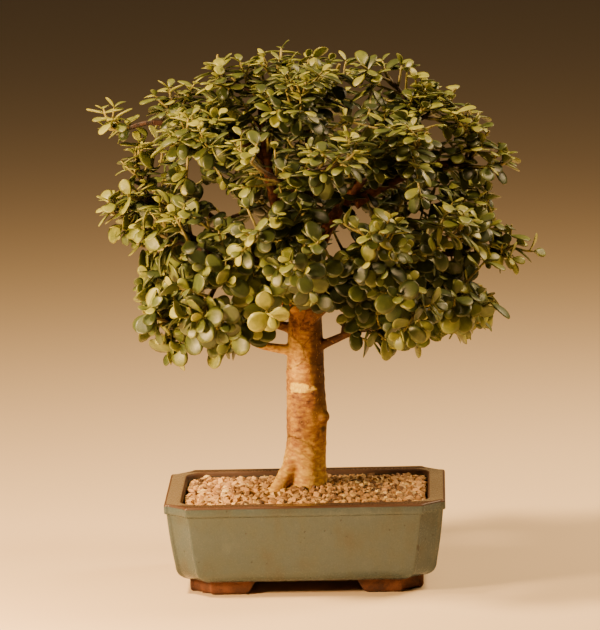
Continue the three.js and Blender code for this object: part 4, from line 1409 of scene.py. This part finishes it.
def leaf_length_at(place):
    """Leaves are small on top of the crown, and large low on its left."""
    lowest, highest = LARGE_LEAVES
    low = share_between(highest - place[2], 0, highest - lowest)
    left = share_between(-place[0], *LEFT_LEAVES)
    return LEAF_LENGTH + LOW_LEAF_EXTRA * low + LOW_LEFT_LEAF_EXTRA * low * left


def leaf_pair(place, heading, turn, lean, length, draw):
    """Two opposite leaves at a node of a shoot, each where it cuts through no other."""
    level = unit(np.cross(heading, SIDEWAYS if abs(heading[2]) > 0.9 else UP))
    outward = unit(place - CROWN_MIDDLE + 40 * UP)
    high = share_between(place[2], *UPTURNED_LEAVES)
    sky = (1 - 0.7 * high) * heading + (0.6 - 0.4 * high) * outward + (0.4 + 1.2 * high) * UP
    pair = []
    draws = [(draw(), draw(), draw(), draw(), draw()) for _ in range(2)]
    for way, (lean_draw, length_draw, roll_draw, tint, shape) in zip((1, -1), draws):
        angle = lean + 0.3 * (lean_draw - 0.5)
        for shift, scale in LEAF_TRIES:
            side = turned_about(level, heading, turn + shift)
            side = unit(side * np.array([1, 1, 1 - 0.6 * high]))
            along = unit(heading * math.cos(angle) + side * way * math.sin(angle) - (0.1 + 0.2 * high) * UP)
            normal = unit(sky - along * (sky @ along))
            normal = turned_about(normal, along, 0.5 * (roll_draw - 0.5))
            across = np.cross(normal, along)
            size = scale * length * (0.86 + 0.28 * length_draw)
            width = size * (0.82 - 0.16 * high) * (0.88 + 0.24 * shape)
            foot = place + along * LEAF_FOOT_GAP
            if is_outside(foot + along * OUTLINE_TEST * size):
                continue
            if any(is_in_gap(foot + along * share * size) for share in GAP_TESTS):
                continue
            if canopy.is_free(foot, along, across, normal, size, width):
                canopy.keep(foot, along, across, normal, size, width)
                pair.append((foot, along, across, normal, size, width, tint))
                break
    return pair


def shoot_line(root, heading, reach, draw):
    """A shoot's line bends a little, mostly up."""
    sway = np.array([draw() - 0.5, draw() - 0.5, 0.2 + 0.5 * draw()]) * 0.16 * reach
    end = root + heading * reach
    t = np.linspace(0, 1, 9)[:, None]
    return (1 - t) ** 2 * root + 2 * t * (1 - t) * ((root + end) / 2 - sway) + t ** 2 * end


# How far from its end a stem's last sprout grows, the room that a sprout's leaves need past its tip,
# and how far out that may be, where 1 is the crown's surface
SPROUT_STOP = 2
SPROUT_ROOM = 5
SPROUT_LIMIT = 1.03


def sprouts_along(line, first, spacing, reach, turn, draw):
    """Small shoots up a stem, from a share of its length on, that stay inside the crown."""
    run = run_along(line)
    ways = tangents(line)
    place = first * run[-1]
    grown = []
    while place < run[-1] - SPROUT_STOP:
        root, along = (np.array([np.interp(place, run, axis) for axis in held.T]) for held in (line, ways))
        turn += GOLDEN_TURN
        lift = 0.2 + 0.5 * share_between(root[2], *LIFTED_SPROUTS)
        heading = side_heading(unit(along), turn + 0.5 * draw(), 0.8 + 0.4 * draw(), lift)
        long = reach * (0.7 + 0.6 * draw())
        end = root + heading * (long + SPROUT_ROOM)
        if crown_share(end - CROWN_MIDDLE) < SPROUT_LIMIT and not is_outside(end) and not is_in_gap(end):
            grown.append(shoot_line(root, heading, long, draw))
        place += spacing * (0.8 + 0.4 * draw())
    return grown


tips = [np.array(tip, float) for tip in (*OUTLINE_TIPS, *INNER_TIPS)]
tips += row_tips(FRONT_ROWS, -1, FRONT_SEED) + row_tips(BACK_ROWS, 1, BACK_SEED)
LIMB_OWNER = len(tips)

# Kinds of stem: girth at foot and tip, the share that is bare, and age at foot and tip
BRANCH = ((2.1, 1.2), 0.36, (1, 0.25))
SIDE_SHOOT = ((1.25, 0.85), 0.14, (0.5, 0))
SIDE_SPROUT = ((0.9, 0.7), 0.05, (0.3, 0))
BRANCH_SPROUT = ((1.1, 0.8), 0.1, (0.45, 0))
LIMB_SPROUT = ((1.5, 0.85), 0.3, (0.8, 0))
FILLING_SHOOT = ((1.1, 0.8), 0.25, (0.45, 0))
PROUD_SHOOT = ((1.1, 0.8), 0.3, (0.45, 0))

# Every stem before any leaf: its owner, its line, its first turn, and its kind
stems = []
roots = []
for number, tip in enumerate(tips):
    curve = branch_curve(tip, roots)
    draw = drawer(*BRANCH_SEEDS, number)
    branch = bend(*curve, np.linspace(0, 1, 40))
    stems.append((number, branch, number, *BRANCH))
    for root, heading, reach, turn in shoots_of(curve, number):
        shoot = shoot_line(root, heading, reach, draw)
        if is_outside(shoot[-1]) or is_in_gap(shoot[-1]):
            continue
        stems.append((number, shoot, turn, *SIDE_SHOOT))
        for sprout in sprouts_along(shoot, first=0.4, spacing=10, reach=11, turn=turn, draw=draw):
            stems.append((number, sprout, FIRST_TURN * draw(), *SIDE_SPROUT))
    for sprout in sprouts_along(branch, first=0.16, spacing=9, reach=16, turn=number + 1.2, draw=draw):
        stems.append((number, sprout, FIRST_TURN * draw(), *BRANCH_SPROUT))
for number, limb in enumerate(LIMBS):
    draw = drawer(*LIMB_SEEDS, number)
    line, _ = limb_line(limb)
    for sprout in sprouts_along(line, first=0.3, spacing=7, reach=21, turn=number, draw=draw):
        stems.append((LIMB_OWNER, sprout, FIRST_TURN * draw(), *LIMB_SPROUT))

# Shoots that close what would still let the eye through, each from the stem nearest to it. Places are
# drawn over the crown, each axis from a start over a span.
FILLING_TRIES = 2500
FILLING_ROOM = ((-165, 355), (-110, 200), (168, 250))
FILLING_DEPTHS = (0.3, 0.97)
SEEN_APART = 6.5
FILLING_REACH = (8, 34)
draw = drawer(FILLING_SEED)
held = np.concatenate([line for _, line, *_ in stems])
held_owners = np.repeat([owner for owner, *_ in stems], [len(line) for _, line, *_ in stems])
for _ in range(FILLING_TRIES):
    place = np.array([start + span * draw() for start, span in FILLING_ROOM])
    depth = crown_share(place - CROWN_MIDDLE)
    if not FILLING_DEPTHS[0] < depth < FILLING_DEPTHS[1] or is_outside(place) or is_in_gap(place):
        continue
    steps = held - place
    apart = np.linalg.norm(steps, axis=1)
    near = apart.argmin()
    is_open = np.hypot(*seen_at(steps.T)).min() > SEEN_APART
    if is_open and FILLING_REACH[0] < apart[near] < FILLING_REACH[1]:
        shoot = shoot_line(held[near], unit(place - held[near]), apart[near], draw)
        stems.append((held_owners[near], shoot, FIRST_TURN * draw(), *FILLING_SHOOT))
        held = np.vstack([held, shoot])
        held_owners = np.append(held_owners, [held_owners[near]] * len(shoot))

# The two shoots that stand out of the outline, high on the left and low on the right: the branch
# that each grows on from, and where it ends
PROUD_ENDS = ((0, (-141, -8, 369)), (17, (176, -3, 254)))
for owner, end in PROUD_ENDS:
    away = np.array(end) - tips[owner]
    shoot = shoot_line(tips[owner], unit(away), np.linalg.norm(away), draw)
    stems.append((owner, shoot, FIRST_TURN * draw(), *PROUD_SHOOT))

# The nodes that bear leaves, from a stem's tip down: place, lean and length of the leaves, and age.
# The leaves at a tip are short, and from node to node down the stem they lean out more.
TIP_GROWTH = 1.8
TIP_LEAN = 0.6
TIP_LEAF = 0.6
NODE_LEAN = 0.85
NODE_LEAN_STEP = 0.17
MOST_LEAN = 1.45
NODE_LEAF = 1.02
NODE_LEAF_STEP = 0.02
OLD_NODE = 4
NODE_SPACING = 0.42
NODE_SWELL = 0.2
MOST_NODES = 14
canopy = Canopy(MOST_LEAVES)
leaves_of = [[] for _ in range(LIMB_OWNER + 1)]
twigs_of = [[] for _ in range(LIMB_OWNER + 1)]
growing = []
for number, (owner, line, turn, girths, bare, ages) in enumerate(stems):
    way = unit(line[-1] - line[-2])
    line = np.vstack([line, line[-1] + way * TIP_GROWTH, line[-1] + way * 2 * TIP_GROWTH])
    run = run_along(line)
    length = leaf_length_at(line[-1])
    draw = drawer(*NODE_SEEDS, number)
    nodes = [(run[-1], TIP_LEAN, TIP_LEAF * length, 0)]
    back = run[-1] - 0.2 * length
    while back > bare * run[-1] + 1.5:
        step = len(nodes)
        lean = min(NODE_LEAN + NODE_LEAN_STEP * step, MOST_LEAN)
        nodes.append((back, lean, length * (NODE_LEAF - NODE_LEAF_STEP * step), min(step / OLD_NODE, 1)))
        back -= NODE_SPACING * length * (0.9 + 0.25 * draw())
    radii = np.interp(run / run[-1], (0, 1), girths)
    radii[-1] *= 0.7
    for place, *_ in nodes[1:]:
        radii = radii * (1 + NODE_SWELL * np.exp(-((run - place) / 0.9) ** 2))
    twigs_of[owner].append((line, radii, ages))
    growing.append((owner, line, run, turn, nodes, draw))

for step in range(MOST_NODES):
    for owner, line, run, turn, nodes, draw in growing:
        if step < len(nodes):
            node_run, lean, length, age = nodes[step]
            place = np.array([np.interp(node_run, run, axis) for axis in line.T])
            index = min(np.searchsorted(run, node_run), len(line) - 1)
            heading = unit(line[index] - line[index - 1])
            pair = leaf_pair(place, heading, turn + (step + 1) * math.pi / 2, lean, length, draw)
            leaves_of[owner].extend((*leaf, age) for leaf in pair)

# The forms of leaf, each with its cup, its curl and its twist
LEAF_FORMS = ((0.10, 0.12, 0), (0.22, 0.04, 0.1), (0.03, 0.2, -0.12), (0.16, 0.26, 0.06))
# Along a leaf: place, half width and share of its thickness
LEAF_STATIONS = (
    (0, 0.10, 0.9), (0.12, 0.19, 0.9), (0.3, 0.39, 1), (0.5, 0.49, 1), (0.68, 0.49, 0.95),
    (0.84, 0.41, 0.8), (0.95, 0.24, 0.5), (0.995, 0.07, 0.25),
)
# Round a leaf: across it and up
LEAF_SECTION = ((1, 0.05), (0.55, 0.8), (-0.55, 0.8), (-1, 0.05), (-0.5, -0.95), (0.5, -0.95))
LEAF_THICKNESS = 1.6
TWIG_SIDES = 7


def leaf_shape(number):
    """A thick egg-shaped blade one unit long, from its narrow foot to its blunt tip."""
    cup, curl, twist = LEAF_FORMS[number]
    rings, places = [], []
    for u, half, thick in LEAF_STATIONS:
        ring = []
        for v, w in LEAF_SECTION:
            y = v * half
            z = w * thick * 0.5 + cup * (v * half) ** 2 * 12 - curl * 10 * u * u + twist * 8 * u * v * half
            ring.append((u, y, z))
            places.append((u, v, w))
        rings.append(np.array(ring))
    points, faces = skin(rings)
    mesh = bpy.data.meshes.new(f"leaf_{number}")
    mesh.from_pydata(points.tolist(), [], [face[::-1] for face in faces])
    give_attribute(mesh, "blade", places, "FLOAT_VECTOR")
    mesh.shade_smooth()
    return bpy.data.objects.new(mesh.name, mesh)


dress = Recipe("grow_spray", {
    "twig_sides": "Int", "leaf_size": "Float", "leaf_shapes": "Collection",
    "leaf_finish": "Material", "twig_finish": "Material",
})
is_leaf = dress.named("is_leaf", "BOOLEAN")
leaf_feet = dress.node("GeometryNodeSeparateGeometry", {"domain": "POINT"},
                       {"Geometry": dress.given["Geometry"], "Selection": is_leaf})
stem_lines = dress.node("GeometryNodeSeparateGeometry", {"domain": "POINT"},
                        {"Geometry": dress.given["Geometry"], "Selection": is_leaf}, 1)
sized = dress.node("ShaderNodeVectorMath", {"operation": "SCALE"},
                   {0: dress.named("leaf_scale", "FLOAT_VECTOR"), "Scale": dress.given["leaf_size"]})
leaves = dress.placed(
    dress.node("GeometryNodeMeshToPoints", None, {"Mesh": leaf_feet}), dress.given["leaf_shapes"],
    dress.named("leaf_shape", "INT"), dress.named("leaf_turn", "FLOAT_VECTOR"), sized)
leaves = dress.finished(dress.realized(leaves), dress.given["leaf_finish"])
circle = dress.node("GeometryNodeCurvePrimitiveCircle", None,
                    {"Resolution": dress.given["twig_sides"], "Radius": 1})
twigs = dress.node("GeometryNodeCurveToMesh", None,
                   {"Curve": dress.node("GeometryNodeMeshToCurve", None, {"Mesh": stem_lines}),
                    "Profile Curve": circle, "Scale": dress.named("twig_radius"), "Fill Caps": True})
twigs = dress.finished(twigs, dress.given["twig_finish"])
dress.end(dress.join(twigs, leaves))

# From young leaves and leaves painted as lit to old ones and leaves painted as shaded
LEAF_GREENS = [
    (0.05, (0.310, 0.330, 0.055)),
    (0.22, (0.165, 0.198, 0.034)),
    (0.42, (0.068, 0.096, 0.020)),
    (0.62, (0.034, 0.052, 0.014)),
    (0.90, (0.018, 0.027, 0.009)),
]
LEAF_FOOT_GREEN = (0.250, 0.250, 0.050)
UNDERSIDE_GREEN = (0.130, 0.155, 0.040)
MARGIN_TAN = (0.230, 0.190, 0.028)
LEAF_DOT_GREEN = (0.220, 0.250, 0.060)
GREEN_STEM = [(0.4, (0.150, 0.130, 0.022)), (0.6, (0.330, 0.280, 0.060))]
BROWN_STEM = [
    (0.36, (0.012, 0.005, 0.003)),
    (0.50, (0.030, 0.012, 0.006)),
    (0.64, (0.070, 0.030, 0.014)),
]

jade = Finish("jade_leaf")
along, across, up = jade.axes(jade.attribute("blade", "Vector"))
# The tint holds each leaf's own tone together with its painted light and shade.
tint = jade.attribute("tint")
mottle = jade.noise(7, 3)
fine = jade.noise(1.2, 2)
margin = across.size().between(0.86, 1).most(along.between(0.93, 1)) * (0.2 + 0.5 * (1 - tint))
leaf_colour = jade.layered(
    jade.ramp(tint * 0.7 + jade.attribute("leaf_age") * 0.3 + 0.5 * (mottle - 0.5), LEAF_GREENS),
    ((1 - along).between(0.72, 1) * 0.5, LEAF_FOOT_GREEN),
    ((0 - up).between(0.1, 0.6) * 0.3, UNDERSIDE_GREEN),
    (margin * 0.7, MARGIN_TAN),
    (fine.between(0.62, 0.75) * 0.2, LEAF_DOT_GREEN),
)
jade.set(base_color=leaf_colour, roughness=0.34 + 0.16 * (mottle - 0.3) + 0.1 * fine)
jade.bump(0.6 * fine + 0.4 * jade.noise(3, 2), 0.12)

young = Finish("jade_stem")
woody = young.attribute("twig_age").between(0.2, 0.6)
streak = young.noise(2.4, 3, (1, 1, 0.5))
stem_colour = young.mix(woody, young.ramp(streak, GREEN_STEM), young.ramp(streak, BROWN_STEM))
young.set(base_color=stem_colour, roughness=0.5 + 0.2 * streak)
young.bump(streak, 0.2)

leaf_shapes = shape_collection("leaf_shapes", [leaf_shape(n) for n in range(len(LEAF_FORMS))])
KINDS = {"is_leaf": "BOOLEAN", "leaf_turn": "FLOAT_VECTOR", "leaf_scale": "FLOAT_VECTOR",
         "leaf_shape": "INT", "twig_radius": "FLOAT", "twig_age": "FLOAT", "tint": "FLOAT",
         "leaf_age": "FLOAT"}
# How much painted light leaves get for being further out than a share of the crown, higher, and near its
# ends; leaves further in are painted darker, as shade
SUN_OUT = 0.8
SUN_OUT_FROM = 0.78
SUN_UP = 0.1
SUN_ENDS = 0.12
# Sprays with leaves paler or darker than their place gives, and the pale leaves by the trunk's top:
# the middle and half sizes of where they hang, seen from the front
SPRAY_SUN = {22: 0.2, 23: -0.35}
PALE_LEAVES = {"x": -31, "z": 244, "half_width": 15, "half_height": 20, "front": -8, "sun": 0.5}


def painted_sun_on(foot, owner):
    """How much lighter a leaf is painted for where it grows: further out, higher, and nearer the crown's ends
    is lighter, as painted light, and deep inside is darker, as painted shade."""
    sun = SUN_OUT * (crown_share(foot - CROWN_MIDDLE) - SUN_OUT_FROM)
    sun += SUN_UP * (foot[2] - CROWN["z"]) / CROWN["up"]
    sun += SUN_ENDS * abs(foot[0]) / CROWN["length"]
    sun += SPRAY_SUN.get(owner, 0)
    is_by_trunk = (abs(foot[0] - PALE_LEAVES["x"]) < PALE_LEAVES["half_width"]
                   and abs(foot[2] - PALE_LEAVES["z"]) < PALE_LEAVES["half_height"])
    if is_by_trunk and foot[1] < PALE_LEAVES["front"]:
        sun += PALE_LEAVES["sun"]
    return sun


for owner in range(LIMB_OWNER + 1):
    points, edges = [], []
    kept = {key: [] for key in KINDS}

    def add_point(point, **values):
        points.append(point)
        for key, column in kept.items():
            column.append(values.get(key, (0, 0, 0) if KINDS[key] == "FLOAT_VECTOR" else 0))

    for line, radii, (foot_age, tip_age) in twigs_of[owner]:
        for i, (point, radius) in enumerate(zip(line, radii)):
            if i:
                edges.append((len(points) - 1, len(points)))
            age = foot_age + (tip_age - foot_age) * i / (len(line) - 1)
            add_point(point, twig_radius=radius / PER_METRE, twig_age=age)
    for foot, along, across, normal, size, width, tint_draw, age in leaves_of[owner]:
        turned = Matrix((along, across, normal)).transposed().to_euler()
        thickness = LEAF_THICKNESS * (0.85 + 0.3 * tint_draw) * size / 15
        # A leaf's tint is its own drawn tone, made lighter or darker by painted light and shade for where it
        # grows.
        tint = 0.22 + 0.78 * tint_draw - painted_sun_on(foot, owner)
        add_point(
            foot, is_leaf=True, leaf_turn=tuple(turned),
            leaf_scale=(size / PER_METRE, width / PER_METRE, thickness / PER_METRE),
            leaf_shape=int(tint_draw * 7919) % len(LEAF_FORMS), tint=min(max(tint, 0), 1), leaf_age=age)
    name = "limb_shoots" if owner == LIMB_OWNER else f"spray_{owner + 1:02d}"
    seedling = object_from(name + "_lines", points, [], edges)
    for key, values in kept.items():
        give_attribute(seedling.data, key, values, KINDS[key])
    piece = dress.made(
        seedling, f"leafy_{name}", twig_sides=TWIG_SIDES, leaf_size=1.0, leaf_shapes=leaf_shapes,
        leaf_finish=jade.material, twig_finish=young.material)
    piece.data.shade_smooth()
    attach(piece, "root")
    if owner < LIMB_OWNER:
        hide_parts(name)
drop_collection(leaf_shapes)

# Floor and light
# A plain pale floor. A small warm light stands low on the left in front, a stronger one shines down
# from high on the left, and two wide soft ones fill from the right, above and behind.
FLOOR_REACH = 30
FLOOR_TAN = (0.86, 0.68, 0.44)
# Each light: its name, place, width in metres, power in watts and colour
LIGHTS = (
    ("key", (-0.43, -0.33, 0.27), 0.14, 7.3, (1.0, 0.62, 0.29)),
    ("high", (-0.65, -0.2, 1.2), 0.2, 36, (1.0, 0.65, 0.33)),
    ("fill", (0.7, 0.0, 1.25), 0.4, 17, (1.0, 0.67, 0.36)),
    ("back", (0.8, 0.45, 0.8), 0.4, 8, (1.0, 0.72, 0.42)),
)
LIGHT_AIM = (0, 0, 0.2)
ROOM_COLOUR = (1.0, 0.74, 0.50, 1)
ROOM_STRENGTH = 0.05

floor_data = bpy.data.meshes.new("floor")
floor_corners = [(sx * FLOOR_REACH, sy * FLOOR_REACH, 0) for sx, sy in QUADRANTS]
floor_data.from_pydata(floor_corners, [], [(0, 1, 2, 3)])
floor = bpy.data.objects.new("floor", floor_data)
bpy.context.scene.collection.objects.link(floor)
paper = Finish("pale_floor")
paper.set(base_color=FLOOR_TAN, roughness=0.75)
floor.data.materials.append(paper.material)

for name, place, size, power, colour in LIGHTS:
    data = bpy.data.lights.new(name, "AREA")
    data.shape = "DISK"
    data.size = size
    data.energy = power
    data.color = colour
    lamp = bpy.data.objects.new(name, data)
    aim = Vector(LIGHT_AIM) - Vector(place)
    lamp.matrix_world = Matrix.Translation(place) @ aim.to_track_quat("-Z", "Y").to_matrix().to_4x4()
    bpy.context.scene.collection.objects.link(lamp)

world = bpy.data.worlds.new("room")
world.use_nodes = True
room = world.node_tree.nodes["Background"]
room.inputs["Color"].default_value = ROOM_COLOUR
room.inputs["Strength"].default_value = ROOM_STRENGTH
bpy.context.scene.world = world
